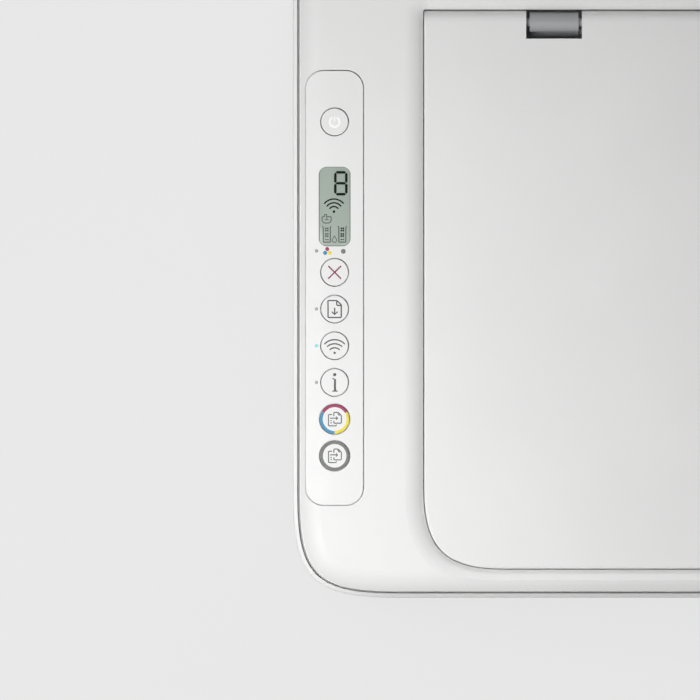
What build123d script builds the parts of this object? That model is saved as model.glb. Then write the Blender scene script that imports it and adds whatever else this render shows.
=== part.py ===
"""An all-in-one inkjet printer: flatbed scanner on top, print engine below, rear feed, front output.

Millimetres. The origin is on the desk under the middle of the printer, +Z is up, +X is the user's
right and the front faces -Y. Every piece is drawn closed and parked, as the printer stands unused.
"""

import os
from math import acos, cos, pi, radians, sin, tan

from build123d import *

os.makedirs("parts", exist_ok=True)

# ---------------------------------------------------------------- driving sizes

WIDTH, DEPTH, HEIGHT = 425.0, 304.0, 154.0
LEFT, RIGHT = -WIDTH / 2, WIDTH / 2
FRONT, REAR = -DEPTH / 2, DEPTH / 2
CORNER_REACH, CORNER_PULL = 45.0, 0.815  # how far a corner's curve reaches, and how hard it bends

# Lower housing and base
HOUSING_BOTTOM, HOUSING_TOP = 5.0, 103.6
WALL = 2.4
RIM = 1.85  # lip that shows as a line round the top cover
LEDGE, LEDGE_THICK = 6.2, 3.6  # the shelf the top cover sits on: its inset and its thickness
LEDGE_TOP = 98.6
PAN_BOTTOM, PAN_FLOOR, PAN_TOP = 4.0, 6.5, 14.6
PAN_INSET, PAN_WALL = 2.7, 2.0
FOOT = (175.0, 118.0)
SCREW = (195.5, 135.0)

# Top cover
COVER_INSET, COVER_BOTTOM = 2.45, 99.0
STEP_INSET, STEP_Z = 3.2, 143.0  # the side wall leans in to a narrow step under the shoulder
CROWN_INSET = 3.55
SHOULDER, SHOULDER_INSET = 11.7, 11.9  # radius of the rounded shoulder, and where it becomes flat
COVER_SKIN, CAVITY_INSET = 2.4, 5.9
BROW, BROW_REACH = 8.7, 1.0  # radius of the edge that rolls down to the lid, and its run under it

# Scanner lid and its well
LID_X, LID_Y = (-155.9, 199.3), (-139.0, 101.2)
LID_TOP, LID_EDGE = 152.0, 1.1
LID_REACH, LID_PULL = 34.0, 0.737
LID_REAR_CORNER, WELL_REAR_CORNER, BROW_REAR_CORNER = 1.2, 0.6, 4.0
LID_GAP = 0.4
WELL_FLOOR, WELL_UNDER = 140.0, 138.0
GLASS_X, GLASS_Y = (-128.2, 171.8), (-130.0, 88.0)
LID_AXIS = (96.2, 147.0)  # y, z of the lid's hinge line
LID_BARREL = 5.0
HINGE_X = (-100.0, 144.0)
HINGE_WIDTH = 21.0

# Control panel
PANEL_X, PANEL_Y = (-206.7, -182.2), (-111.5, 75.1)
PANEL_CORNER, PANEL_GAP = 7.5, 0.45
PANEL_BOTTOM, PANEL_TOP = 151.0, 153.9
PANEL_EDGE, PANEL_CROWN = 152.8, 153.62  # heights of its outer edge, and half way up the curve there
KEY_X, KEY_PITCH, FIRST_KEY_Y = -194.4, 15.78, -11.5
KEY_RADIUS, COPY_KEY_RADIUS, KEY_GAP = 5.82, 6.35, 0.4
KEY_FOOT, KEY_FLANGE = 149.4, 0.9  # underside of a key cap, and the flange that holds it in
PANEL_BOARD_Z = (143.0, 144.6)
SHELF_UNDER, COVER_LOW = 148.6, 90.0
DISPLAY_Y, DISPLAY_SIZE, DISPLAY_CORNER = 16.8, (13.5, 34.0), 3.4
LIGHT_X, LIGHT_RADIUS = -202.2, 0.7
KEYS = {
    "power_button": (53.2, KEY_RADIUS),
    "cancel_button": (FIRST_KEY_Y, KEY_RADIUS),
    "resume_button": (FIRST_KEY_Y - KEY_PITCH, KEY_RADIUS),
    "wireless_button": (FIRST_KEY_Y - 2 * KEY_PITCH, KEY_RADIUS),
    "information_button": (FIRST_KEY_Y - 3 * KEY_PITCH, KEY_RADIUS),
    "color_copy_button": (FIRST_KEY_Y - 4 * KEY_PITCH, COPY_KEY_RADIUS),
    "black_copy_button": (FIRST_KEY_Y - 5 * KEY_PITCH, COPY_KEY_RADIUS),
}
LIGHTS_Y = (-2.3, FIRST_KEY_Y - KEY_PITCH, FIRST_KEY_Y - 2 * KEY_PITCH, FIRST_KEY_Y - 3 * KEY_PITCH)

# Rear paper feed
TRAY_AXIS = (148.6, 149.4)  # y, z of the input tray's hinge line
TRAY_HALF, TRAY_BOTTOM = 119.5, 58.0
RECESS_HALF, RECESS_Y, RECESS_BOTTOM = 121.0, 145.5, 55.0
THROAT_HALF, THROAT_FRONT, THROAT_SILL = 117.0, 106.2, 142.0
SHIELD_AXIS = (109.5, 150.4)
CHUTE_LOW, CHUTE_SLOPE = (110.0, 50.0), 33.0 / 90.0  # a point on the paper's face and its lean
CHUTE_HALF, CHUTE_TOP, CHUTE_THICK, PAPER_FLOOR = 118.0, 132.0, 2.4, 46.0
GUIDE_FACE = 108.6  # half the width between the paper guides
RACK_Y = (134.0, 138.0)
PINION_Z = 91.0
GUIDE_TEETH = 16

# Print engine
MODULE, ADDENDUM, DEDENDUM, BACKLASH = 1.0, 0.8, 1.0, 0.15
PRESSURE = radians(20)
FEED_AXIS = (5.0, 42.0)
PINCH_Z = 51.05  # height of the pinch rollers' axle
ROLLERS_X = (-84.0, -28.0, 28.0, 84.0)
OUTPUT_AXIS = (-95.0, 42.0)
PICKUP_AXIS = (102.4, 72.0)
FEED_TEETH, TRANSFER_TEETH, OUTPUT_TEETH, MOTOR_TEETH = 50, 52, 46, 14
MOTOR_ANGLE = 60.0  # direction from the feed gear to the motor gear
GEAR_X, GEAR_WIDTH = -199.0, 6.0
SIDE_PLATE = 190.0
BELT_Z, BELT_Y, PULLEY_X, BELT_INNER = 78.0, (-14.0, -10.0), 174.0, 6.0
CARRIAGE_X, CARRIAGE_Y, CARRIAGE_Z = (112.0, 188.0), (-75.0, -18.0), (50.0, 92.0)
BAYS_X, BAY_WIDTH = (114.0, 151.0), 35.0
DOOR_HALF, DOOR_AXIS = 149.3, (-146.5, 56.5)
OPENING_HALF, OPENING_Z = 150.0, (15.0, 97.0)
SCOOP_X, SCOOP_RADIUS = 152.0, 10.0
EXTENDER_HALF, EXTENDER_Z = 55.0, (17.0, 20.0)
STOP_AXIS = (-146.6, 18.5)

# Scanner
SCAN_BASE_X, SCAN_BASE_Y, SCAN_BASE_Z = (-157.0, 203.0), (-143.0, 102.0), (104.0, 134.0)
SCAN_X, SCAN_PITCH_Y, SCAN_TEETH = -136.0, -15.0, 14

# Rear sockets
INLET_X, INLET_Z = -165.0, 25.0
USB_X, USB_Z = 152.0, 20.8
BOARD_Z = 13.4


# A corner's curve passes its corner at this share of its reach. An outline drawn in or out keeps an even
# distance when the reach follows it at this rate.
CORNER_FOLLOW = (2 - 2**0.5) * 4 / (4 - 3 * CORNER_PULL)
LID_FOLLOW = (2 - 2**0.5) * 4 / (4 - 3 * LID_PULL)


# ---------------------------------------------------------------- shared shapes


def keep(builder, name):
    """Labels a finished piece and writes it to its own file."""
    builder.part.label = name
    export_step(builder.part, f"parts/{name}.step")


def block(x, y, z, radius=0.0, mode=Mode.ADD):
    """A block between two x, two y and two z limits, its upright edges rounded by radius."""
    with BuildSketch(Plane.XY.offset(z[0])) as outline:
        with Locations(((x[0] + x[1]) / 2, (y[0] + y[1]) / 2)):
            if radius:
                RectangleRounded(x[1] - x[0], y[1] - y[0], radius)
            else:
                Rectangle(x[1] - x[0], y[1] - y[0])
    extrude(outline.sketch, amount=z[1] - z[0], mode=mode)


def rod(start, direction, radius, length, mode=Mode.ADD):
    """A round bar that begins at start and runs along direction."""
    with BuildSketch(Plane(origin=start, z_dir=direction)) as section:
        Circle(radius)
    extrude(section.sketch, amount=length, mode=mode)


def side_profile(points, x, mode=Mode.ADD, radius=0.0):
    """A flat polygon of (y, z) points, extruded from x[0] to x[1]."""
    with BuildSketch(Plane(origin=(x[0], 0, 0), x_dir=(0, 1, 0), z_dir=(1, 0, 0))) as section:
        with BuildLine():
            Polyline(*points, close=True)
        make_face()
        if radius:
            fillet(section.vertices(), radius)
    extrude(section.sketch, amount=x[1] - x[0], mode=mode)


def soft_rectangle(x, y, front_reach, rear_reach, pull):
    """Draws a rectangle in the open line: each corner's curve starts its reach away from the corner."""
    middle = ((x[0] + x[1]) / 2, (y[0] + y[1]) / 2)
    corners = (
        (x[0], y[0], 0, 1, 1, 0, front_reach),
        (x[1], y[0], -1, 0, 0, 1, front_reach),
        (x[1], y[1], 0, -1, -1, 0, rear_reach),
        (x[0], y[1], 1, 0, 0, -1, rear_reach),
    )
    end = (x[0], middle[1])
    for corner_x, corner_y, in_x, in_y, out_x, out_y, reach in corners:
        near = reach * (1 - pull)
        start = (corner_x + in_x * reach, corner_y + in_y * reach)
        Line(end, start)
        end = (corner_x + out_x * reach, corner_y + out_y * reach)
        Bezier(
            start,
            (corner_x + in_x * near, corner_y + in_y * near),
            (corner_x + out_x * near, corner_y + out_y * near),
            end,
        )
    Line(end, (x[0], middle[1]))


def footprint_sketch(inset, height):
    """The printer's rounded outline, drawn in by inset, at a height."""
    reach = CORNER_REACH - CORNER_FOLLOW * inset
    span_x, span_y = (LEFT + inset, RIGHT - inset), (FRONT + inset, REAR - inset)
    with BuildSketch(Plane.XY.offset(height)) as outline:
        with BuildLine():
            soft_rectangle(span_x, span_y, reach, reach, CORNER_PULL)
        make_face()
    return outline.sketch


def footprint(inset, low, high, mode=Mode.ADD):
    """The printer's rounded outline, drawn in by inset, between two heights."""
    extrude(footprint_sketch(inset, low), amount=high - low, mode=mode)


def lid_outline(grow, low, high, rear_corner=WELL_REAR_CORNER, mode=Mode.ADD):
    """The lid's outline, grown all round by grow, between two heights."""
    with BuildSketch(Plane.XY.offset(low)) as outline:
        with BuildLine():
            soft_rectangle(
                (LID_X[0] - grow, LID_X[1] + grow),
                (LID_Y[0] - grow, LID_Y[1] + grow),
                LID_REACH + LID_FOLLOW * grow,
                max(0.4, rear_corner + grow),
                LID_PULL,
            )
        make_face()
    extrude(outline.sketch, amount=high - low, mode=mode)


def gear_plane(x, axis):
    """A plane square to X, with its own x along +Y and its own y along +Z, centred on a shaft."""
    return Plane(origin=(x, axis[0], axis[1]), x_dir=(0, 1, 0), z_dir=(1, 0, 0))


def spur_gear(plane, teeth, width, phase, mode=Mode.ADD):
    """An involute gear with one tooth centred at phase degrees; each flank is one arc."""
    pitch, base = MODULE * teeth / 2, MODULE * teeth / 2 * cos(PRESSURE)
    tip, root = pitch + ADDENDUM * MODULE, pitch - DEDENDUM * MODULE
    at_pitch = (pi * MODULE / 2 - BACKLASH) / (2 * pitch) + tan(PRESSURE) - PRESSURE

    def half_angle(radius):
        lean = acos(min(1.0, base / radius))
        return at_pitch - (tan(lean) - lean)

    def point(radius, angle):
        return (radius * cos(angle), radius * sin(angle))

    start = max(root, base)
    middle = (start + tip) / 2
    with BuildSketch(plane) as section:
        with BuildLine():
            for tooth in range(teeth):
                centre = radians(phase) + 2 * pi * tooth / teeth
                following = centre + 2 * pi / teeth
                low, mid, high = (half_angle(r) for r in (start, middle, tip))
                if start > root:
                    Line(point(root, centre - low), point(start, centre - low))
                ThreePointArc(
                    point(start, centre - low), point(middle, centre - mid), point(tip, centre - high)
                )
                ThreePointArc(point(tip, centre - high), point(tip, centre), point(tip, centre + high))
                ThreePointArc(
                    point(tip, centre + high), point(middle, centre + mid), point(start, centre + low)
                )
                if start > root:
                    Line(point(start, centre + low), point(root, centre + low))
                ThreePointArc(
                    point(root, centre + low),
                    point(root, (centre + following) / 2),
                    point(root, following - low),
                )
        make_face()
    extrude(section.sketch, amount=width, mode=mode)


def meshing_phase(phase, teeth, direction, other_teeth):
    """The phase of a gear that meshes with one of the given phase, lying in the given direction."""
    return direction + 180 - (phase - direction) * teeth / other_teeth + 180 / other_teeth


def rack(plane, first, last, back, width, mode=Mode.ADD):
    """A toothed bar along the plane's x, teeth pointing to -y, with a space centred on x = 0."""
    pitch = pi * MODULE
    half = (pitch / 2 - BACKLASH) / 2
    points = [(first, back)]
    tooth = int(first / pitch)
    while (tooth + 0.5) * pitch + pitch / 2 < last:
        centre = (tooth + 0.5) * pitch
        if centre - pitch / 2 > first:
            outer, inner = half + DEDENDUM * tan(PRESSURE), half - ADDENDUM * tan(PRESSURE)
            points += [(centre - outer, DEDENDUM), (centre - inner, -ADDENDUM)]
            points += [(centre + inner, -ADDENDUM), (centre + outer, DEDENDUM)]
        tooth += 1
    points += [(last, DEDENDUM), (last, back)]
    points.insert(1, (first, DEDENDUM))
    with BuildSketch(plane) as section:
        with BuildLine():
            Polyline(*points, close=True)
        make_face()
    extrude(section.sketch, amount=width, mode=mode)


def paper_y(z):
    """The y of the sloping face that the paper lies on, at height z."""
    return CHUTE_LOW[0] + CHUTE_SLOPE * (z - CHUTE_LOW[1])


# ---------------------------------------------------------------- base and housing

with BuildPart() as base_pan:
    footprint(PAN_INSET, PAN_BOTTOM, PAN_TOP)
    fillet(base_pan.edges().group_by(Axis.Z)[0], 2.0)
    footprint(PAN_INSET + PAN_WALL, PAN_FLOOR, PAN_TOP, mode=Mode.SUBTRACT)
    for rib_x in (-116.0, 116.0):
        block((rib_x - 1, rib_x + 1), (-146.0, 130.0), (PAN_FLOOR, 8.0))
    with Locations(*[(x, y, PAN_BOTTOM) for x in (-FOOT[0], FOOT[0]) for y in (-FOOT[1], FOOT[1])]):
        Hole(3.2)
    with Locations(*[(x, y, PAN_BOTTOM) for x in (-SCREW[0], SCREW[0]) for y in (-SCREW[1], SCREW[1])]):
        Hole(1.8)
keep(base_pan, "base_pan")

with BuildPart() as feet:
    for foot_x in (-FOOT[0], FOOT[0]):
        for foot_y in (-FOOT[1], FOOT[1]):
            rod((foot_x, foot_y, 0), (0, 0, 1), 9.0, 3.95)
            rod((foot_x, foot_y, 3.9), (0, 0, 1), 3.0, 2.5)
    fillet(feet.edges().group_by(Axis.Z)[0], 1.2)
keep(feet, "feet")

with BuildPart() as housing_screws:
    for screw_x in (-SCREW[0], SCREW[0]):
        for screw_y in (-SCREW[1], SCREW[1]):
            rod((screw_x, screw_y, 2.4), (0, 0, 1), 3.4, 1.55)
            rod((screw_x, screw_y, 3.9), (0, 0, 1), 1.5, 16.0)
            for half_x, half_y in ((2.4, 0.4), (0.4, 2.4)):
                # the two arms of the driver recess
                slot_x, slot_y = (screw_x - half_x, screw_x + half_x), (screw_y - half_y, screw_y + half_y)
                block(slot_x, slot_y, (2.4, 3.3), mode=Mode.SUBTRACT)
keep(housing_screws, "housing_screws")

with BuildPart() as housing_cavity:
    footprint(WALL, HOUSING_BOTTOM - 1, LEDGE_TOP - LEDGE_THICK)
    footprint(LEDGE, LEDGE_TOP - LEDGE_THICK, LEDGE_TOP)
    footprint(RIM, LEDGE_TOP, HOUSING_TOP + 1)
    # wall round the recess that the folded input tray hangs in
    block(
        (-RECESS_HALF - WALL, RECESS_HALF + WALL),
        (RECESS_Y - WALL, REAR),
        (RECESS_BOTTOM - WALL, LEDGE_TOP),
        mode=Mode.SUBTRACT,
    )

with BuildPart() as lower_housing:
    footprint(0, HOUSING_BOTTOM, HOUSING_TOP)
    fillet(lower_housing.edges().group_by(Axis.Z)[0], 4.5)
    fillet(lower_housing.edges().group_by(Axis.Z)[-1], RIM / 3)
    add(housing_cavity.part, mode=Mode.SUBTRACT)
    recess_z = (RECESS_BOTTOM, HOUSING_TOP + 1)
    block((-RECESS_HALF, RECESS_HALF), (RECESS_Y, REAR + 1), recess_z, mode=Mode.SUBTRACT)
    # one opening for the ink door above and the paper output below
    block((-OPENING_HALF, OPENING_HALF), (FRONT - 1, FRONT + 9), OPENING_Z, mode=Mode.SUBTRACT)
    for side in (-1, 1):
        # door hinge bosses, behind the front wall
        ends = sorted((side * 150.6, side * 157.0))
        block(ends, (FRONT + 2.0, FRONT + 10.0), (51.0, 61.5))
        rod((side * 150.0, *DOOR_AXIS), (side, 0, 0), 2.1, 5.8, mode=Mode.SUBTRACT)
        # scoop beside the ink door, for the fingertips that open it
        scoop_foot = (side * SCOOP_X, FRONT - SCOOP_RADIUS + 1.8, 72.0)
        rod(scoop_foot, (0, 0, 1), SCOOP_RADIUS, 20.0, mode=Mode.SUBTRACT)
        for boss_y in (-SCREW[1], SCREW[1]):
            # corner posts that the base screws run up into
            rod((side * SCREW[0], boss_y, PAN_FLOOR + 0.2), (0, 0, 1), 4.0, 30.0)
            rod((side * SCREW[0], boss_y, PAN_FLOOR + 0.2), (0, 0, 1), 1.6, 14.0, mode=Mode.SUBTRACT)
            web = sorted((side * (SCREW[0] + 3.0), side * (RIGHT - 4.6)))
            web_y = boss_y - 4.0 if boss_y > 0 else boss_y + 2.4
            block(web, (web_y, web_y + 1.6), (PAN_TOP + 0.5, 36.0))
    for vent in range(6):
        # vents over the power supply
        low = 62.0 + 4.5 * vent
        block((-182.0, -134.0), (REAR - 4, REAR + 1), (low, low + 1.8), mode=Mode.SUBTRACT)
    # windows for the mains inlet and the data socket
    for window_x, window_z, half_x, half_z in ((INLET_X, INLET_Z, 11.2, 7.2), (USB_X, USB_Z, 6.3, 5.7)):
        across, upright = (window_x - half_x, window_x + half_x), (window_z - half_z, window_z + half_z)
        block(across, (REAR - 6, REAR + 1), upright, mode=Mode.SUBTRACT)
keep(lower_housing, "lower_housing")

# ---------------------------------------------------------------- top cover

with BuildPart() as cover_pillow:
    footprint(SHOULDER_INSET - SHOULDER, STEP_Z - 1, HEIGHT)
    fillet(cover_pillow.edges().group_by(Axis.Z)[-1], SHOULDER)

with BuildPart() as cover_cavity:
    footprint(CAVITY_INSET, COVER_BOTTOM - 1, HEIGHT - COVER_SKIN)
    fillet(cover_cavity.edges().group_by(Axis.Z)[-1], 3.0)
    # walls round the lid's well, and the thicker lip that its edge rolls down over
    lid_outline(LID_GAP + 2.2, WELL_UNDER, HEIGHT, mode=Mode.SUBTRACT)
    lid_outline(LID_GAP + 5.5, WELL_UNDER + 9.0, HEIGHT, mode=Mode.SUBTRACT)
    # solid round the finger scoop at the lid's front edge
    block((-14.0, 58.0), (-150.0, -138.0), (144.0, HEIGHT), mode=Mode.SUBTRACT)
    # shelf under the control panel
    shelf_x, shelf_y = (PANEL_X[0] - 3, PANEL_X[1] + 3), (PANEL_Y[0] - 3, PANEL_Y[1] + 3)
    block(shelf_x, shelf_y, (SHELF_UNDER, HEIGHT), mode=Mode.SUBTRACT)
    # wall behind the paper throat and round the tray recess
    recess_wall_x = (-RECESS_HALF - WALL, RECESS_HALF + WALL)
    block(recess_wall_x, (RECESS_Y - WALL, REAR), (COVER_LOW, HEIGHT), mode=Mode.SUBTRACT)

with BuildPart() as cover_wall:
    loft(sections=[footprint_sketch(COVER_INSET, COVER_BOTTOM), footprint_sketch(STEP_INSET, STEP_Z)])

with BuildPart() as top_cover:
    footprint(CROWN_INSET, STEP_Z - 1, HEIGHT)
    lid_outline(LID_GAP - BROW_REACH, STEP_Z - 2, HEIGHT, BROW_REAR_CORNER, mode=Mode.SUBTRACT)
    well_edge = top_cover.faces().sort_by(Axis.Z)[-1].inner_wires()[0].edges()
    fillet(well_edge, BROW)
    add(cover_pillow.part, mode=Mode.INTERSECT)
    add(cover_wall.part)
    lid_outline(LID_GAP, WELL_FLOOR, HEIGHT, mode=Mode.SUBTRACT)
    add(cover_cavity.part, mode=Mode.SUBTRACT)
    block(GLASS_X, GLASS_Y, (WELL_UNDER - 1, WELL_FLOOR + 1), radius=3.0, mode=Mode.SUBTRACT)
    block((-8.0, 52.0), (-145.5, -134.0), (147.0, HEIGHT + 1), radius=5.0, mode=Mode.SUBTRACT)
    # control panel pocket, open through the middle of its shelf
    block(
        (PANEL_X[0] - PANEL_GAP, PANEL_X[1] + PANEL_GAP),
        (PANEL_Y[0] - PANEL_GAP, PANEL_Y[1] + PANEL_GAP),
        (PANEL_BOTTOM - 0.1, HEIGHT + 1),
        radius=PANEL_CORNER + PANEL_GAP,
        mode=Mode.SUBTRACT,
    )
    block(
        (PANEL_X[0] + 3, PANEL_X[1] - 3), (PANEL_Y[0] + 3, PANEL_Y[1] - 3), (140.0, HEIGHT),
        radius=PANEL_CORNER - 3, mode=Mode.SUBTRACT,
    )
    # paper throat, the low sill behind it and the tray recess
    throat_x, above = (-THROAT_HALF, THROAT_HALF), HEIGHT + 1
    block(throat_x, (THROAT_FRONT, REAR - 14), (HEIGHT - 6, above), mode=Mode.SUBTRACT)
    block(throat_x, (REAR - 15, REAR), (THROAT_SILL, above), mode=Mode.SUBTRACT)
    block((-RECESS_HALF, RECESS_HALF), (RECESS_Y, REAR + 1), (COVER_LOW, above), mode=Mode.SUBTRACT)
    for side in (-1, 1):
        rod((side * RECESS_HALF, *TRAY_AXIS), (side, 0, 0), 3.2, 6.0)
        lug = sorted((side * RECESS_HALF, side * (RECESS_HALF + 6.0)))
        block(lug, (143.5, TRAY_AXIS[0]), (TRAY_AXIS[1] - 3.2, TRAY_AXIS[1] + 3.2))
        rod((side * (RECESS_HALF - 1), *TRAY_AXIS), (side, 0, 0), 1.6, 6.0, mode=Mode.SUBTRACT)
        # sockets for the shield's pins, in the throat's side walls
        cheek = sorted((side * THROAT_HALF, side * (THROAT_HALF + 4.0)))
        block(cheek, (106.0, 114.0), (146.0, HEIGHT - 0.4))
        rod((side * (THROAT_HALF - 1), *SHIELD_AXIS), (side, 0, 0), 1.3, 3.6, mode=Mode.SUBTRACT)
keep(top_cover, "top_cover")

# ---------------------------------------------------------------- scanner

with BuildPart() as scanner_base:
    block(SCAN_BASE_X, SCAN_BASE_Y, SCAN_BASE_Z, radius=25.0)
    block(
        (SCAN_BASE_X[0] + 2, SCAN_BASE_X[1] - 2),
        (SCAN_BASE_Y[0] + 2, SCAN_BASE_Y[1] - 2),
        (SCAN_BASE_Z[0] + 2.4, SCAN_BASE_Z[1] + 1),
        radius=23.0,
        mode=Mode.SUBTRACT,
    )
    # bearing rails that the ends of the scan head run over
    for rail_y in (-124.0, 84.0):
        block((-150.0, 196.0), (rail_y - 1.5, rail_y + 1.5), (SCAN_BASE_Z[0] + 2, 118.4))
keep(scanner_base, "scanner_base")

with BuildPart() as scanner_glass:
    block((GLASS_X[0] - 4, GLASS_X[1] + 4), (GLASS_Y[0] - 4, GLASS_Y[1] + 4), (135.2, WELL_UNDER - 0.1))
keep(scanner_glass, "scanner_glass")

with BuildPart() as scan_guide:
    guide_bottom = SCAN_BASE_Z[0] + 2.5
    rack_plane = Plane(origin=(SCAN_X, SCAN_PITCH_Y, guide_bottom), x_dir=(-1, 0, 0), z_dir=(0, 0, 1))
    rack(rack_plane, -330.0, 12.0, 10.0, 113.0 - guide_bottom)
    block((-148.0, 194.0), (-22.0, -19.0), (112.0, 117.6))
keep(scan_guide, "scan_guide")

with BuildPart() as scan_head:
    block((SCAN_X - 10, SCAN_X + 10), (-132.0, 90.0), (119.0, 134.6), radius=1.0)
    # the strip that the lens row looks out of
    block((SCAN_X - 2.5, SCAN_X + 2.5), (-118.0, 76.0), (132.6, 135.0), radius=1.0, mode=Mode.SUBTRACT)
    block((SCAN_X - 10, SCAN_X + 10), (-28.0, -18.4), (115.0, 119.5))
    block((SCAN_X - 11, SCAN_X + 11), (-22.4, -18.6), (114.0, 118.2), mode=Mode.SUBTRACT)
    # motor housing, with the pinion's bearing
    rod((SCAN_X, SCAN_PITCH_Y + SCAN_TEETH / 2, 113.4), (0, 0, 1), 8.0, 6.0)
    rod((SCAN_X, SCAN_PITCH_Y + SCAN_TEETH / 2, 113.0), (0, 0, 1), 1.6, 7.0, mode=Mode.SUBTRACT)
    block((SCAN_X - 11, SCAN_X + 11), (-22.4, -18.6), (113.0, 118.2), mode=Mode.SUBTRACT)
keep(scan_head, "scan_head")

with BuildPart() as scan_pinion:
    pinion_plane = Plane(origin=(SCAN_X, SCAN_PITCH_Y + SCAN_TEETH / 2, 107.4))
    spur_gear(pinion_plane, SCAN_TEETH, 5.0, -90.0)
    rod((SCAN_X, SCAN_PITCH_Y + SCAN_TEETH / 2, 112.0), (0, 0, 1), 1.5, 7.0)
keep(scan_pinion, "scan_pinion")

with BuildPart() as scanner_lid:
    lid_outline(0, 141.0, LID_TOP, LID_REAR_CORNER)
    fillet(scanner_lid.faces().sort_by(Axis.Z)[-1].outer_wire().edges(), LID_EDGE)
    lid_outline(-2.4, 140.0, LID_TOP - 2.2, mode=Mode.SUBTRACT)
    for rib_x in (-100.0, -40.0, 21.8, 84.0, 144.0):
        block((rib_x - 0.8, rib_x + 0.8), (LID_Y[0] + 1.5, 92.0), (144.5, LID_TOP - 1))
    for rib_y in (-80.0, -18.8, 40.0):
        block((LID_X[0] + 1.5, LID_X[1] - 1.5), (rib_y - 0.8, rib_y + 0.8), (144.5, LID_TOP - 1))
    # rounded rear edge that turns about the hinge line
    block(LID_X, (LID_AXIS[0], LID_Y[1] + 1), (138.0, LID_TOP + 1), mode=Mode.SUBTRACT)
    block(LID_X, (84.0, LID_AXIS[0]), (138.0, 142.0), mode=Mode.SUBTRACT)
    rod((LID_X[0], *LID_AXIS), (1, 0, 0), LID_BARREL, LID_X[1] - LID_X[0])
    for hinge_x in HINGE_X:
        reach = HINGE_WIDTH / 2 + 1.5
        slot = (hinge_x - reach, hinge_x + reach)
        block(slot, (89.0, LID_Y[1] + 1), (138.0, LID_TOP + 1), mode=Mode.SUBTRACT)
        rod((slot[0] - 7.5, *LID_AXIS), (1, 0, 0), 2.1, 2 * reach + 15.0, mode=Mode.SUBTRACT)
keep(scanner_lid, "scanner_lid")

with BuildPart() as lid_pad:
    block((-151.0, 195.0), (-134.6, 88.0), (140.3, 144.3), radius=20.0)
keep(lid_pad, "lid_pad")

with BuildPart() as lid_hinges:
    for hinge_x in HINGE_X:
        span = (hinge_x - HINGE_WIDTH / 2, hinge_x + HINGE_WIDTH / 2)
        block(span, (90.0, 100.8), (WELL_FLOOR + 0.05, 142.0))
        block(span, (LID_AXIS[0] - 4.2, LID_AXIS[0] + 4.2), (141.0, LID_AXIS[1]))
        rod((span[0], *LID_AXIS), (1, 0, 0), 4.2, HINGE_WIDTH)
        rod((span[0] - 8.0, *LID_AXIS), (1, 0, 0), 2.0, HINGE_WIDTH + 16.0)
keep(lid_hinges, "lid_hinges")

# ---------------------------------------------------------------- control panel

with BuildPart() as panel_blank:
    block(PANEL_X, PANEL_Y, (PANEL_BOTTOM, HEIGHT), radius=PANEL_CORNER)

with BuildPart() as control_panel:
    with BuildSketch(Plane.XZ.offset(-PANEL_Y[1])):
        with BuildLine():
            low_edge, crest = (PANEL_X[0], PANEL_EDGE), (KEY_X - 1, PANEL_TOP)
            inner_edge = (PANEL_X[1], PANEL_TOP)
            Polyline(low_edge, (PANEL_X[0], PANEL_BOTTOM), (PANEL_X[1], PANEL_BOTTOM), inner_edge)
            Line(inner_edge, crest)
            ThreePointArc(crest, ((PANEL_X[0] + KEY_X - 1) / 2, PANEL_CROWN), low_edge)
        make_face()
    extrude(amount=PANEL_Y[1] - PANEL_Y[0])
    add(panel_blank.part, mode=Mode.INTERSECT)
    for key_y, key_radius in KEYS.values():
        rod((KEY_X, key_y, PANEL_BOTTOM - 1), (0, 0, 1), key_radius + KEY_GAP, 5.0, mode=Mode.SUBTRACT)
    half_x, half_y = DISPLAY_SIZE[0] / 2 + 0.1, DISPLAY_SIZE[1] / 2 + 0.1
    block(
        (KEY_X - half_x, KEY_X + half_x), (DISPLAY_Y - half_y, DISPLAY_Y + half_y),
        (PANEL_BOTTOM - 1, HEIGHT + 1), radius=DISPLAY_CORNER, mode=Mode.SUBTRACT,
    )
    for light_y in LIGHTS_Y:
        rod((LIGHT_X, light_y, PANEL_BOTTOM - 1), (0, 0, 1), LIGHT_RADIUS + 0.05, 5.0, mode=Mode.SUBTRACT)
keep(control_panel, "control_panel")

with BuildPart() as display:
    block(
        (KEY_X - DISPLAY_SIZE[0] / 2, KEY_X + DISPLAY_SIZE[0] / 2),
        (DISPLAY_Y - DISPLAY_SIZE[1] / 2, DISPLAY_Y + DISPLAY_SIZE[1] / 2),
        (149.5, PANEL_TOP - 0.5),
        radius=DISPLAY_CORNER,
    )
    block((KEY_X - 7.2, KEY_X + 7.2), (DISPLAY_Y - 17.6, DISPLAY_Y + 17.6), (144.7, 150.4))
keep(display, "display")

with BuildPart() as panel_board:
    block((KEY_X - 10, KEY_X + 10), (-104.0, 66.0), PANEL_BOARD_Z)
keep(panel_board, "panel_board")

with BuildPart() as key_switches:
    for key_y, _ in KEYS.values():
        block((KEY_X - 3, KEY_X + 3), (key_y - 3, key_y + 3), (PANEL_BOARD_Z[1] + 0.05, 146.4))
        rod((KEY_X, key_y, 146.0), (0, 0, 1), 1.6, 1.2)
keep(key_switches, "key_switches")

with BuildPart() as indicator_lights:
    for light_y in LIGHTS_Y:
        rod((LIGHT_X, light_y, PANEL_BOARD_Z[1] + 0.1), (0, 0, 1), 0.8, 6.0)
        rod((LIGHT_X, light_y, 150.6), (0, 0, 1), LIGHT_RADIUS, 2.75)
keep(indicator_lights, "indicator_lights")

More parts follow.
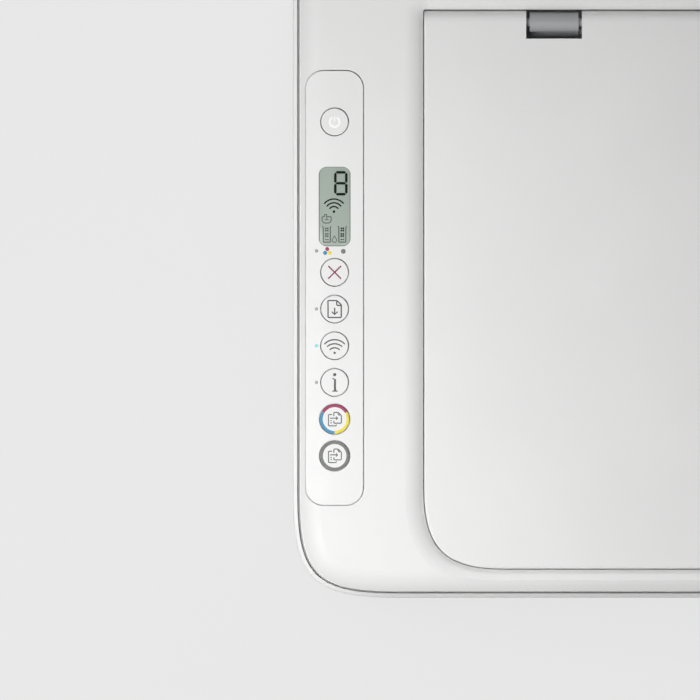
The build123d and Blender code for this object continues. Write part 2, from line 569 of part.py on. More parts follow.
for key_name, (key_y, key_radius) in KEYS.items():
    with BuildPart() as push_button:
        rod((KEY_X, key_y, KEY_FOOT), (0, 0, 1), key_radius, HEIGHT - KEY_FOOT)
        fillet(push_button.edges().group_by(Axis.Z)[-1], 0.35)
        # flange that stops the cap under the panel, and the stem over its switch
        rod((KEY_X, key_y, KEY_FOOT), (0, 0, 1), key_radius + KEY_FLANGE, KEY_FLANGE)
        rod((KEY_X, key_y, KEY_FOOT - 1.3), (0, 0, 1), 1.8, 1.4)
    keep(push_button, key_name)

# ---------------------------------------------------------------- rear paper feed

with BuildPart() as input_tray:
    with BuildSketch(Plane.XZ.offset(-(TRAY_AXIS[0] + 2.0))) as tray_face:
        with Locations((0, (TRAY_BOTTOM + TRAY_AXIS[1]) / 2)):
            Rectangle(2 * TRAY_HALF, TRAY_AXIS[1] - TRAY_BOTTOM)
        fillet(tray_face.vertices().group_by(Axis.Z)[0], 14.0)
    extrude(amount=4.0)
    outer_rim = input_tray.edges().filter_by_position(Axis.Y, 150.5, 150.7)
    fillet(outer_rim.filter_by_position(Axis.Z, 50, 140), 0.8)
    # shallow panel that the paper rests on, and the finger notch at its edge
    block((-TRAY_HALF + 9, TRAY_HALF - 9), (149.8, 152.0), (68.0, 138.0), mode=Mode.SUBTRACT)
    block((-24.0, 24.0), (140.0, 155.0), (50.0, 61.5), mode=Mode.SUBTRACT)
    rod((-TRAY_HALF, *TRAY_AXIS), (1, 0, 0), 2.6, 2 * TRAY_HALF)
    rod((-TRAY_HALF - 5.4, *TRAY_AXIS), (1, 0, 0), 1.5, 2 * TRAY_HALF + 10.8)
keep(input_tray, "input_tray")

with BuildPart() as input_shield:
    side_profile(
        [(107.3, 150.8), (144.6, 150.8), (144.6, 151.8), (143.6, 152.8), (107.3, 152.8)],
        (-THROAT_HALF + 0.8, THROAT_HALF - 0.8),
    )
    rod((-THROAT_HALF + 0.8, *SHIELD_AXIS), (1, 0, 0), 2.2, 2 * THROAT_HALF - 1.6)
    rod((-THROAT_HALF - 2.2, *SHIELD_AXIS), (1, 0, 0), 1.2, 2 * THROAT_HALF + 4.4)
keep(input_shield, "input_shield")

with BuildPart() as rear_chute:
    behind = CHUTE_THICK / 2
    with BuildSketch(Plane(origin=(-CHUTE_HALF, 0, 0), x_dir=(0, 1, 0), z_dir=(1, 0, 0))):
        with BuildLine():
            chute_foot = paper_y(PAPER_FLOOR) + behind
            FilletPolyline(
                (paper_y(CHUTE_TOP) + behind, CHUTE_TOP),
                (chute_foot, PAPER_FLOOR - behind),
                (17.0, PAPER_FLOOR - behind),
                radius=30.0,
            )
        trace(line_width=CHUTE_THICK)
    extrude(amount=2 * CHUTE_HALF)
    for side in (-1, 1):
        cheek = sorted((side * CHUTE_HALF, side * (CHUTE_HALF + 2)))
        side_profile(
            [
                (paper_y(56) - 2, 56.0),
                (paper_y(60) - 11, 60.0),
                (paper_y(CHUTE_TOP) - 11, CHUTE_TOP),
                (paper_y(CHUTE_TOP) + 1.5, CHUTE_TOP),
                (paper_y(56) + 1.5, 56.0),
            ],
            cheek,
        )
    # slots for the paper guides' arms, and the pin their pinion turns on
    block((-114.0, -50.0), (110.0, 142.0), (99.6, 104.8), mode=Mode.SUBTRACT)
    block((50.0, 114.0), (110.0, 142.0), (77.2, 82.4), mode=Mode.SUBTRACT)
    rod((0, paper_y(PINION_Z) + 1, PINION_Z), (0, 1, 0), 2.0, 14.0)
keep(rear_chute, "rear_chute")

# The left guide's rack lies over the pinion and the right guide's under it.
for guide_name, side in (("left_guide", -1), ("right_guide", 1)):
    with BuildPart() as paper_guide:
        fence = sorted((side * GUIDE_FACE, side * (GUIDE_FACE + 2.4)))
        side_profile(
            [
                (paper_y(70) - 0.8, 70.0),
                (paper_y(131) - 0.8, 131.0),
                (141.0, 146.0),
                (127.0, 146.0),
                (paper_y(120) - 10, 120.0),
                (paper_y(70) - 10, 70.0),
            ],
            fence,
        )
        pitch_z = PINION_Z - side * GUIDE_TEETH / 2
        arm_z = sorted((pitch_z - side * 1.4, pitch_z - side * 5.0))
        arm = sorted((side * (GUIDE_FACE - 5.6), side * (GUIDE_FACE + 2.4)))
        block(arm, (paper_y(arm_z[0]) - 4.0, RACK_Y[1]), arm_z)
        rack_plane = Plane(origin=(0, RACK_Y[1], pitch_z), x_dir=(-side, 0, 0), z_dir=(0, -1, 0))
        rack(rack_plane, -106.0, 10.0, 5.0, RACK_Y[1] - RACK_Y[0])
    keep(paper_guide, guide_name)

with BuildPart() as guide_pinion:
    guide_plane = Plane(origin=(0, RACK_Y[0], PINION_Z), x_dir=(1, 0, 0), z_dir=(0, 1, 0))
    spur_gear(guide_plane, GUIDE_TEETH, 4.0, 90.0)
    rod((0, RACK_Y[0] - 1, PINION_Z), (0, 1, 0), 2.1, 6.0, mode=Mode.SUBTRACT)
keep(guide_pinion, "guide_pinion")

# ---------------------------------------------------------------- front

with BuildPart() as ink_door:
    with BuildSketch(Plane(origin=(-DOOR_HALF, 0, 0), x_dir=(0, 1, 0), z_dir=(1, 0, 0))):
        with BuildLine():
            door_face = FRONT + 1.5
            FilletPolyline(
                (door_face, 96.4), (door_face, 58.0), (FRONT + 6.5, 54.2), (FRONT + 12.0, 54.2), radius=4.0
            )
        trace(line_width=2.4)
    extrude(amount=2 * DOOR_HALF)
    for side in (-1, 1):
        wing = sorted((side * (DOOR_HALF - 2.4), side * DOOR_HALF))
        wing_outline = [(1.5, 90), (1.5, 57), (6, 54), (11, 54), (9, 62)]
        side_profile([(FRONT + behind, z) for behind, z in wing_outline], wing)
        rod((side * (DOOR_HALF - 1), *DOOR_AXIS), (side, 0, 0), 2.0, 6.6)
    # ribs stiffen the panel's inner face
    for rib_x in (-90.0, -30.0, 30.0, 90.0):
        rib_outline = [(2, 92), (2, 58), (6, 55), (10, 55), (5, 64)]
        side_profile([(FRONT + behind, z) for behind, z in rib_outline], (rib_x - 0.8, rib_x + 0.8))
keep(ink_door, "ink_door")

with BuildPart() as output_tray:
    block((-140.0, 140.0), (FRONT + 3.0, -88.0), (15.4, 24.0))
    block((-60.0, 60.0), (-89.0, -56.0), (15.4, 22.4))
    block((-133.0, 133.0), (FRONT - 1, -87.0), (22.4, 25.0), mode=Mode.SUBTRACT)
    for side in (-1, 1):
        wall = sorted((side * 136.0, side * 140.0))
        block(wall, (FRONT + 4.0, -104.0), (20.0, 49.0))
    # slot that the extender slides in, and the notch over its paper stop
    block(
        (-EXTENDER_HALF - 0.5, EXTENDER_HALF + 0.5), (FRONT - 1, -55.0),
        (EXTENDER_Z[0] - 0.4, EXTENDER_Z[1] + 0.4), mode=Mode.SUBTRACT,
    )
    block((-22.0, 22.0), (FRONT - 1, -111.0), (EXTENDER_Z[1], 25.0), mode=Mode.SUBTRACT)
keep(output_tray, "output_tray")

with BuildPart() as tray_extender:
    block((-EXTENDER_HALF, EXTENDER_HALF), (FRONT + 0.8, -60.0), EXTENDER_Z)
    # grip along the front edge
    block((-EXTENDER_HALF, EXTENDER_HALF), (FRONT + 0.4, FRONT + 2.6), (15.6, 21.8), radius=1.0)
    stop_window = (STOP_AXIS[0] - 2.6, -113.0)
    block((-20.6, 20.6), stop_window, (EXTENDER_Z[0] - 1, EXTENDER_Z[1] + 3), mode=Mode.SUBTRACT)
    for side in (-1, 1):
        rod((side * 20.0, *STOP_AXIS), (side, 0, 0), 1.1, 4.0, mode=Mode.SUBTRACT)
keep(tray_extender, "tray_extender")

with BuildPart() as paper_stop:
    block((-20.0, 20.0), (STOP_AXIS[0], -113.8), (17.4, 19.6), radius=0.8)
    rod((-20.0, *STOP_AXIS), (1, 0, 0), 1.5, 40.0)
    rod((-23.4, *STOP_AXIS), (1, 0, 0), 1.0, 46.8)
    block((-9.0, 9.0), (-126.0, -119.0), (17.0, 20.0), radius=3.4, mode=Mode.SUBTRACT)
keep(paper_stop, "paper_stop")

# ---------------------------------------------------------------- print engine

motor_axis = (
    FEED_AXIS[0] + (FEED_TEETH + MOTOR_TEETH) / 2 * cos(radians(MOTOR_ANGLE)),
    FEED_AXIS[1] + (FEED_TEETH + MOTOR_TEETH) / 2 * sin(radians(MOTOR_ANGLE)),
)

with BuildPart() as engine_frame:
    block((-SIDE_PLATE, SIDE_PLATE), (-5.0, -3.5), (56.0, 96.0))
    block((-SIDE_PLATE, SIDE_PLATE), (-16.0, -3.5), (94.5, 96.0))
    block((-SIDE_PLATE, SIDE_PLATE), (-5.0, 8.0), (56.0, 57.5))
    for side in (-1, 1):
        plate = sorted((side * SIDE_PLATE, side * (SIDE_PLATE + 1.5)))
        plate_outline = [(-105, 12), (60, 12), (112, 60), (112, 84), (90, 96), (-80, 96), (-105, 70)]
        side_profile(plate_outline, plate, radius=4.0)
        start = side * (SIDE_PLATE - 1)
        rod((start, *FEED_AXIS), (side, 0, 0), 4.1, 4.0, mode=Mode.SUBTRACT)
        rod((start, *OUTPUT_AXIS), (side, 0, 0), 3.1, 4.0, mode=Mode.SUBTRACT)
        rod((start, *PICKUP_AXIS), (side, 0, 0), 4.1, 4.0, mode=Mode.SUBTRACT)
        # ears that carry the pinch rollers' axle
        ear = sorted((side * 113.0, side * 114.6))
        block(ear, (2.0, 8.0), (48.8, 57.0))
        rod((side * 112.0, FEED_AXIS[0], PINCH_Z), (side, 0, 0), 1.1, 4.0, mode=Mode.SUBTRACT)
    rod((-SIDE_PLATE + 1, *motor_axis), (-1, 0, 0), 4.5, 4.0, mode=Mode.SUBTRACT)
    rod((PULLEY_X, 0, BELT_Z), (0, -1, 0), 4.5, 10.0, mode=Mode.SUBTRACT)
    rod((-PULLEY_X, -4, BELT_Z), (0, -1, 0), 2.0, 12.0)
    # axle stub of the transfer gear, on the left plate
    transfer_axis = (FEED_AXIS[0] - (FEED_TEETH + TRANSFER_TEETH) / 2, FEED_AXIS[1])
    rod((-SIDE_PLATE - 1, *transfer_axis), (-1, 0, 0), 3.0, 10.0)
keep(engine_frame, "engine_frame")

with BuildPart() as carriage_motor:
    rod((PULLEY_X, -3.3, BELT_Z), (0, 1, 0), 13.0, 25.0)
    fillet(carriage_motor.edges().group_by(Axis.Y)[-1], 1.5)
    rod((PULLEY_X, -4.0, BELT_Z), (0, 1, 0), 1.7, 14.0, mode=Mode.SUBTRACT)
keep(carriage_motor, "carriage_motor")

with BuildPart() as feed_motor:
    rod((-SIDE_PLATE + 1.3, *motor_axis), (1, 0, 0), 13.0, 26.0)
    fillet(feed_motor.edges().group_by(Axis.X)[-1], 1.5)
    rod((-SIDE_PLATE + 1, *motor_axis), (1, 0, 0), 1.7, 14.0, mode=Mode.SUBTRACT)
keep(feed_motor, "feed_motor")

with BuildPart() as drive_belt:
    with BuildSketch(Plane.XZ.offset(-BELT_Y[1])):
        with Locations((0, BELT_Z)):
            SlotCenterToCenter(2 * PULLEY_X, 2 * BELT_INNER + 2)
            SlotCenterToCenter(2 * PULLEY_X, 2 * BELT_INNER, mode=Mode.SUBTRACT)
    extrude(amount=BELT_Y[1] - BELT_Y[0])
keep(drive_belt, "drive_belt")

for pulley_name, pulley_x in (("motor_pulley", PULLEY_X), ("idler_pulley", -PULLEY_X)):
    with BuildPart() as pulley:
        rod((pulley_x, BELT_Y[0] - 1.0, BELT_Z), (0, 1, 0), BELT_INNER - 0.2, 6.0)
        for flange_y in (BELT_Y[0] - 1.0, BELT_Y[1] + 0.2):
            rod((pulley_x, flange_y, BELT_Z), (0, 1, 0), 8.0, 0.8)
        if pulley_x < 0:
            rod((pulley_x, BELT_Y[0] - 2.0, BELT_Z), (0, 1, 0), 2.1, 8.0, mode=Mode.SUBTRACT)
        else:
            rod((pulley_x, BELT_Y[1] + 0.5, BELT_Z), (0, 1, 0), 1.6, 18.0)
    keep(pulley, pulley_name)

with BuildPart() as feed_roller:
    rod((-116.0, *FEED_AXIS), (1, 0, 0), 6.0, 232.0)
    rod((GEAR_X - 1.0, *FEED_AXIS), (1, 0, 0), 4.0, SIDE_PLATE + 1.4 - GEAR_X)
keep(feed_roller, "feed_roller")

with BuildPart() as feed_gear:
    spur_gear(gear_plane(GEAR_X, FEED_AXIS), FEED_TEETH, GEAR_WIDTH, MOTOR_ANGLE)
    rod((GEAR_X - 1, *FEED_AXIS), (1, 0, 0), 4.04, GEAR_WIDTH + 2, mode=Mode.SUBTRACT)
keep(feed_gear, "feed_gear")

with BuildPart() as motor_gear:
    motor_phase = meshing_phase(MOTOR_ANGLE, FEED_TEETH, MOTOR_ANGLE, MOTOR_TEETH)
    spur_gear(gear_plane(GEAR_X, motor_axis), MOTOR_TEETH, GEAR_WIDTH, motor_phase)
    rod((GEAR_X + 3, *motor_axis), (1, 0, 0), 1.6, 20.0)
keep(motor_gear, "motor_gear")

transfer_phase = meshing_phase(MOTOR_ANGLE, FEED_TEETH, 180.0, TRANSFER_TEETH)
with BuildPart() as transfer_gear:
    spur_gear(gear_plane(GEAR_X, transfer_axis), TRANSFER_TEETH, GEAR_WIDTH, transfer_phase)
    rod((GEAR_X - 1, *transfer_axis), (1, 0, 0), 3.1, GEAR_WIDTH + 2, mode=Mode.SUBTRACT)
keep(transfer_gear, "transfer_gear")

with BuildPart() as output_roller:
    rod((GEAR_X - 1.0, *OUTPUT_AXIS), (1, 0, 0), 3.0, SIDE_PLATE + 1.4 - GEAR_X)
    for wheel_x in ROLLERS_X:
        rod((wheel_x - 6, *OUTPUT_AXIS), (1, 0, 0), 5.6, 12.0)
keep(output_roller, "output_roller")

with BuildPart() as output_gear:
    output_phase = meshing_phase(transfer_phase, TRANSFER_TEETH, 180.0, OUTPUT_TEETH)
    spur_gear(gear_plane(GEAR_X, OUTPUT_AXIS), OUTPUT_TEETH, GEAR_WIDTH, output_phase)
    rod((GEAR_X - 1, *OUTPUT_AXIS), (1, 0, 0), 3.04, GEAR_WIDTH + 2, mode=Mode.SUBTRACT)
keep(output_gear, "output_gear")

with BuildPart() as pickup_roller:
    rod((-SIDE_PLATE - 1.4, *PICKUP_AXIS), (1, 0, 0), 4.0, 2 * SIDE_PLATE + 2.8)
    rod((-18.0, *PICKUP_AXIS), (1, 0, 0), 14.0, 36.0)
keep(pickup_roller, "pickup_roller")

with BuildPart() as pinch_rollers:
    rod((-115.0, FEED_AXIS[0], PINCH_Z), (1, 0, 0), 1.0, 230.0)
    for roller_x in ROLLERS_X:
        rod((roller_x - 15, FEED_AXIS[0], PINCH_Z), (1, 0, 0), 2.95, 30.0)
keep(pinch_rollers, "pinch_rollers")

with BuildPart() as platen:
    block((-112.0, 112.0), (-86.0, -4.0), (40.0, 44.0))
    for rib in range(9):
        rib_x = -104.0 + 26.0 * rib
        block((rib_x - 0.7, rib_x + 0.7), (-85.0, -5.0), (43.0, 47.2))
    for leg_x in (-108.0, 108.0):
        for leg_y in (-78.0, -12.0):
            block((leg_x - 3, leg_x + 3), (leg_y - 5, leg_y + 5), (PAN_FLOOR + 0.05, 41.0))
keep(platen, "platen")

with BuildPart() as waste_ink_pad:
    block((-100.0, 100.0), (-52.0, 48.0), (PAN_FLOOR + 0.1, 12.0), radius=3.0)
keep(waste_ink_pad, "waste_ink_pad")

with BuildPart() as service_station:
    block((121.0, 183.0), (-74.0, -20.0), (PAN_FLOOR + 0.1, 38.0), radius=2.0)
    block((123.0, 181.0), (-72.0, -22.0), (9.0, 39.0), radius=1.0, mode=Mode.SUBTRACT)
keep(service_station, "service_station")

with BuildPart() as cap_sled:
    block((124.0, 180.0), (-71.0, -23.0), (30.0, 42.0), radius=1.0)
    for cap_x in (131.5, 168.5):
        block((cap_x - 6, cap_x + 6), (-63.0, -41.0), (41.0, 49.2), radius=3.0)
        block((cap_x - 4.5, cap_x + 4.5), (-61.5, -42.5), (46.0, 50.0), radius=2.0, mode=Mode.SUBTRACT)
    # wiper blade between the caps
    block((149.4, 150.6), (-66.0, -36.0), (41.0, 48.6))
keep(cap_sled, "cap_sled")

with BuildPart() as carriage:
    block(CARRIAGE_X, CARRIAGE_Y, CARRIAGE_Z, radius=1.5)
    for bay_x in BAYS_X:
        block((bay_x, bay_x + BAY_WIDTH), (CARRIAGE_Y[0] - 1, -22.0), (53.0, 90.0), mode=Mode.SUBTRACT)
        nozzle_x = (bay_x + 5.0, bay_x + BAY_WIDTH - 5.0)
        block(nozzle_x, (-62.0, -42.0), (49.0, 54.0), mode=Mode.SUBTRACT)
    # clamp that grips the lower run of the belt
    block((145.0, 155.0), (CARRIAGE_Y[1] - 0.5, -9.4), (68.6, 74.4))
    block((144.0, 156.0), (BELT_Y[0] - 0.4, -9.0), (BELT_Z - 7.4, BELT_Z - 5.6), mode=Mode.SUBTRACT)
keep(carriage, "carriage")

for cartridge_name, bay_x in zip(("color_cartridge", "black_cartridge"), BAYS_X):
    with BuildPart() as cartridge:
        block((bay_x + 0.8, bay_x + BAY_WIDTH - 0.8), (-76.5, -24.0), (54.2, 88.0), radius=2.0)
        block((bay_x + 3.0, bay_x + BAY_WIDTH - 3.0), (-79.5, -76.0), (60.0, 82.0), radius=1.5)
        # nozzle plate that reaches through the carriage floor
        block((bay_x + 6.0, bay_x + 29.0), (-61.0, -43.0), (49.6, 55.0), radius=1.0)
    keep(cartridge, cartridge_name)

# ---------------------------------------------------------------- electronics

with BuildPart() as main_board:
    block((122.0, 187.0), (62.0, 143.0), (BOARD_Z, BOARD_Z + 1.6))
    block((136.0, 152.0), (84.0, 100.0), (BOARD_Z + 1, BOARD_Z + 3.4))
    block((160.0, 176.0), (78.0, 86.0), (BOARD_Z + 1, BOARD_Z + 2.8))
    block((126.0, 132.0), (66.0, 118.0), (BOARD_Z + 1, BOARD_Z + 8.0))
    for leg_x in (126.0, 183.0):
        for leg_y in (66.0, 128.0):
            rod((leg_x, leg_y, PAN_FLOOR + 0.05), (0, 0, 1), 2.5, BOARD_Z - PAN_FLOOR)
keep(main_board, "main_board")

with BuildPart() as power_supply:
    block((-188.0, -128.0), (60.0, 128.0), (PAN_FLOOR + 0.1, 44.0), radius=3.0)
    for slot_y in range(9):
        low = 70.0 + 6.0 * slot_y
        block((-178.0, -138.0), (low, low + 2.4), (42.4, 45.0), mode=Mode.SUBTRACT)
keep(power_supply, "power_supply")

with BuildPart() as power_inlet:
    block((INLET_X - 11.0, INLET_X + 11.0), (132.0, REAR - 0.6), (INLET_Z - 7.0, INLET_Z + 7.0))
    with BuildSketch(Plane.XZ.offset(-(REAR - 0.6))):
        with Locations((INLET_X, INLET_Z)):
            SlotOverall(17.0, 9.4)
    extrude(amount=13.0, mode=Mode.SUBTRACT)
    for pin_x in (-4.3, 4.3):
        rod((INLET_X + pin_x, 136.0, INLET_Z), (0, 1, 0), 1.2, 13.0)
keep(power_inlet, "power_inlet")

with BuildPart() as usb_socket:
    block((USB_X - 6.0, USB_X + 6.0), (134.0, REAR - 0.6), (USB_Z - 5.4, USB_Z + 5.4))
    block((USB_X - 4.3, USB_X + 4.3), (142.0, REAR + 1), (USB_Z - 4.0, USB_Z + 4.0), mode=Mode.SUBTRACT)
    block((USB_X - 2.8, USB_X + 2.8), (141.0, REAR - 2.0), (USB_Z - 1.6, USB_Z + 1.6))
keep(usb_socket, "usb_socket")
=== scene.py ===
"""Finishes a desktop all-in-one inkjet printer round its fixed CAD frame."""

import math

import bmesh
import bpy
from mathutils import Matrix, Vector


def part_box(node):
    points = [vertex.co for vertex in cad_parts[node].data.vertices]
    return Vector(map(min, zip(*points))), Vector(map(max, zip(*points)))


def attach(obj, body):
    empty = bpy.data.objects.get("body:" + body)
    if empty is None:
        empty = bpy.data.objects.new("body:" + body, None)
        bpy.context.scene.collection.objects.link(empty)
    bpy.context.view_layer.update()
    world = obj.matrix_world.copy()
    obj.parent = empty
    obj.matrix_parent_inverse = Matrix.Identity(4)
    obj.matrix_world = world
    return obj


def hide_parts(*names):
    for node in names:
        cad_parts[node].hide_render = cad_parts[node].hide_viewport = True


bl_info = {
    "name": "Inkjet Printer Finisher",
    "version": (1, 1, 0),
    "blender": (4, 5, 0),
    "location": "3D View > Sidebar > Printer",
    "description": "Marks, fittings and finishes of an all-in-one inkjet printer on its CAD frame",
    "category": "Object",
}

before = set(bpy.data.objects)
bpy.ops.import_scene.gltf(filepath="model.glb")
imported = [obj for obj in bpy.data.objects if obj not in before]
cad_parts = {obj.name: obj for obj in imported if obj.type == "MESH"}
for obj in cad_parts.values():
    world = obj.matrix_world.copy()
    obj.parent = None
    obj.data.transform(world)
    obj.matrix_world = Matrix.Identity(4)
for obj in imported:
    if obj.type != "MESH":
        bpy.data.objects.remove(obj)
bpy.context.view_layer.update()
MM = 0.001
AXES = {"X": Vector((1, 0, 0)), "Y": Vector((0, 1, 0)), "Z": Vector((0, 0, 1))}

# Faces that a node's box alone doesn't give.
WELL_LEVEL = 140 * MM  # where the page corner mark lies, beside the glass
SUPPORT_FACE = 149.8 * MM  # how far back the paper support's outer face stands
TRAY_FLOOR = 22.4 * MM  # the floor of the output tray

FLOOR_GLOW = 0.715
AIM_HEIGHT = 0.08
# Each low light's place, its width, and its share of the side power.
FILLS = (
    ("left_fill", (-2.3, 0.1, 0.35), 1.2, 0.15),
    ("front_fill", (0.4, -2.4, 0.35), 1.2, 0.3),
    ("rear_fill", (0.2, 2.4, 0.35), 1.2, 1.0),
    ("right_fill", (2.4, 0.3, 0.3), 1.0, 0.35),
)

MAGENTA, CYAN, YELLOW = (0.4, 0.02, 0.12), (0.025, 0.3, 0.56), (0.92, 0.76, 0.02)
WHEELS_X = (-84, -56, -28, 28, 56, 84)


# ---------------------------------------------------------------- places read from the frame


def middle(node):
    """The centre of a CAD node's box."""
    low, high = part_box(node)
    return (low + high) / 2


def top_of(node):
    """The height of a CAD node's highest point."""
    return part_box(node)[1].z


# ---------------------------------------------------------------- hand tools


def put_down():
    """Leaves edit mode and selects nothing."""
    if bpy.context.object and bpy.context.object.mode != "OBJECT":
        bpy.ops.object.mode_set(mode="OBJECT")
    bpy.ops.object.select_all(action="DESELECT")


def take(*pieces):
    """Selects these pieces alone, the first one active."""
    put_down()
    for piece in pieces:
        piece.select_set(True)
    bpy.context.view_layer.objects.active = pieces[0]
    return pieces[0]


def edit(piece):
    """Opens a piece in edit mode."""
    take(piece)
    bpy.ops.object.mode_set(mode="EDIT")
    return piece


def pick(piece, kind, test):
    """Selects the faces, edges or vertices of a piece in edit mode that pass a test."""
    bpy.ops.mesh.select_mode(type=kind)
    bpy.ops.mesh.select_all(action="DESELECT")
    mesh = bmesh.from_edit_mesh(piece.data)
    for item in {"VERT": mesh.verts, "EDGE": mesh.edges, "FACE": mesh.faces}[kind]:
        if test(item):
            item.select_set(True)
    mesh.select_flush_mode()
    bmesh.update_edit_mesh(piece.data)


def upright(edge):
    """Whether an edge stands straight up."""
    run = edge.verts[1].co - edge.verts[0].co
    return abs(run.z) > 0.9 * run.length


def block(low, high):
    """A block between two corners, left in edit mode."""
    put_down()
    low, high = Vector(low), Vector(high)
    bpy.ops.mesh.primitive_cube_add(size=1, location=(low + high) / 2, scale=high - low)
    bpy.ops.object.transform_apply(location=True, rotation=True, scale=True)
    return edit(bpy.context.object)


def rounded_block(low, high, corner, edge=0.0, segments=4):
    """A block with round upright corners and softened top edges."""
    piece = block(low, high)
    pick(piece, "EDGE", upright)
    bpy.ops.mesh.bevel(offset=corner, segments=segments, affect="EDGES")
    if edge:
        soften_top(piece, edge)
    return piece


def soften_top(piece, offset, segments=2):
    """Bevels the rim of a piece's top face."""
    top = max(vertex.co.z for vertex in bmesh.from_edit_mesh(piece.data).verts)
    pick(piece, "EDGE", lambda edge: all(abs(v.co.z - top) < 1e-7 for v in edge.verts))
    bpy.ops.mesh.bevel(offset=offset, segments=segments, affect="EDGES")


def eased_block(low, high, edge):
    """A block with every edge eased."""
    piece = block(low, high)
    bpy.ops.mesh.select_all(action="SELECT")
    bpy.ops.mesh.bevel(offset=edge, segments=2, affect="EDGES")
    return piece


def disc(centre, radius, height, axis="Z", edge=0.0, sides=48):
    """A round block that stands on its centre point, left in edit mode."""
    put_down()
    turn = {"X": (0, math.pi / 2, 0), "Y": (-math.pi / 2, 0, 0), "Z": (0, 0, 0)}[axis]
    along = AXES[axis]
    bpy.ops.mesh.primitive_cylinder_add(
        vertices=sides, radius=radius, depth=height, location=Vector(centre) + along * height / 2,
        rotation=turn
    )
    bpy.ops.object.transform_apply(location=True, rotation=True, scale=True)
    piece = edit(bpy.context.object)
    if edge:
        pick(
            piece, "EDGE", lambda e: len(e.link_faces) == 2 and any(len(f.verts) > 4 for f in e.link_faces)
        )
        bpy.ops.mesh.bevel(offset=edge, segments=2, affect="EDGES")
    return piece


def collar(centre, outer, inner, height, axis="Z", edge=0.1 * MM, sides=48):
    """A ring with a stepped face: a round block whose end is inset and pressed in."""
    piece = disc(centre, outer, height, axis, sides=sides)
    along = AXES[axis]
    pick(piece, "FACE", lambda face: face.normal.dot(along) > 0.9)
    bpy.ops.mesh.inset(thickness=outer - inner)
    bpy.ops.mesh.extrude_region_move(TRANSFORM_OT_translate={"value": -along * height * 0.5})
    pick(piece, "EDGE", lambda e: any(len(f.verts) > 4 for f in e.link_faces))
    bpy.ops.mesh.bevel(offset=edge, segments=1, affect="EDGES")
    return piece


def wire(points, corner=0.0, closed=False):
    """A thin line through points, its corners rounded, left in edit mode."""
    put_down()
    points = [Vector(point) for point in points]
    bpy.ops.mesh.primitive_plane_add(size=MM, location=(0, 0, 0))
    piece = edit(bpy.context.object)
    bpy.ops.mesh.select_mode(type="VERT")
    bpy.ops.mesh.select_all(action="SELECT")
    bpy.ops.mesh.merge(type="CENTER")
    bpy.ops.transform.translate(value=points[0])
    for near, far in zip(points, points[1:]):
        bpy.ops.mesh.extrude_region_move(TRANSFORM_OT_translate={"value": far - near})
    if closed:
        pick(piece, "VERT", lambda vertex: len(vertex.link_edges) == 1)
        bpy.ops.mesh.edge_face_add()
    if corner:
        pick(piece, "VERT", lambda vertex: len(vertex.link_edges) == 2)
        bpy.ops.mesh.bevel(offset=corner, segments=4, affect="VERTICES")
    return piece


def arc_wire(centre, radius, first, last, steps=24):
    """A thin line round part of a circle, from one angle to another in degrees."""
    centre = Vector(centre)
    angles = [math.radians(first + (last - first) * step / steps) for step in range(steps + 1)]
    return wire([centre + radius * Vector((math.cos(a), math.sin(a), 0)) for a in angles])


def thicken(piece, width, height=None, axis="Z"):
    """Gives a thin line a round section, or an oval one that is only as high as height along an axis."""
    take(piece)
    bpy.ops.object.convert(target="CURVE")
    line = bpy.context.object
    line.data.bevel_depth = width / 2
    line.data.bevel_resolution = 2
    line.data.use_fill_caps = True
    bpy.ops.object.convert(target="MESH")
    line = edit(bpy.context.object)
    if height:
        index = "XYZ".index(axis)
        squeeze, centre = [1, 1, 1], [0, 0, 0]
        squeeze[index] = height / width
        centre[index] = sum(vertex.co[index] for vertex in line.data.vertices) / len(line.data.vertices)
        bpy.ops.mesh.select_all(action="SELECT")
        bpy.ops.transform.resize(value=squeeze, center_override=centre)
    put_down()
    return line


def plate(points, rise):
    """A flat plate with this outline, raised by a vector, left in edit mode."""
    piece = wire(points, closed=True)
    bpy.ops.mesh.select_all(action="SELECT")
    bpy.ops.mesh.edge_face_add()
    bpy.ops.mesh.extrude_region_move(TRANSFORM_OT_translate={"value": rise})
    return piece


def joined(pieces):
    """Makes one mesh of several."""
    take(*pieces)
    if len(pieces) > 1:
        bpy.ops.object.join()
    return bpy.context.object


def arrayed(piece, count, step):
    """Repeats a piece in a straight row."""
    take(piece)
    bpy.ops.object.modifier_add(type="ARRAY")
    row = piece.modifiers[-1]
    row.count = count
    row.use_relative_offset = False
    row.use_constant_offset = True
    row.constant_offset_displace = step
    bpy.ops.object.modifier_apply(modifier=row.name)
    return piece


def smoothed(piece, angle=35):
    """Shades a piece smooth up to an angle."""
    take(piece)
    bpy.ops.object.shade_smooth_by_angle(angle=math.radians(angle))
    return piece


def fit(piece, name, body, material):
    """Names a finished piece, gives it its finish and lets it ride on a CAD body."""
    edit(piece)
    bpy.ops.mesh.select_all(action="SELECT")
    bpy.ops.mesh.normals_make_consistent(inside=False)
    take(piece)
    bpy.ops.object.transform_apply(location=True, rotation=True, scale=True)
    smoothed(piece)
    piece.name = name
    piece.data.name = name
    piece.data.materials.clear()
    piece.data.materials.append(material)
    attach(piece, body)
    put_down()
    return piece


def dress(nodes, material):
    """Gives CAD nodes a finish."""
    for node in nodes.split():
        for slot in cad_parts[node].material_slots:
            slot.material = material


# ---------------------------------------------------------------- finishes


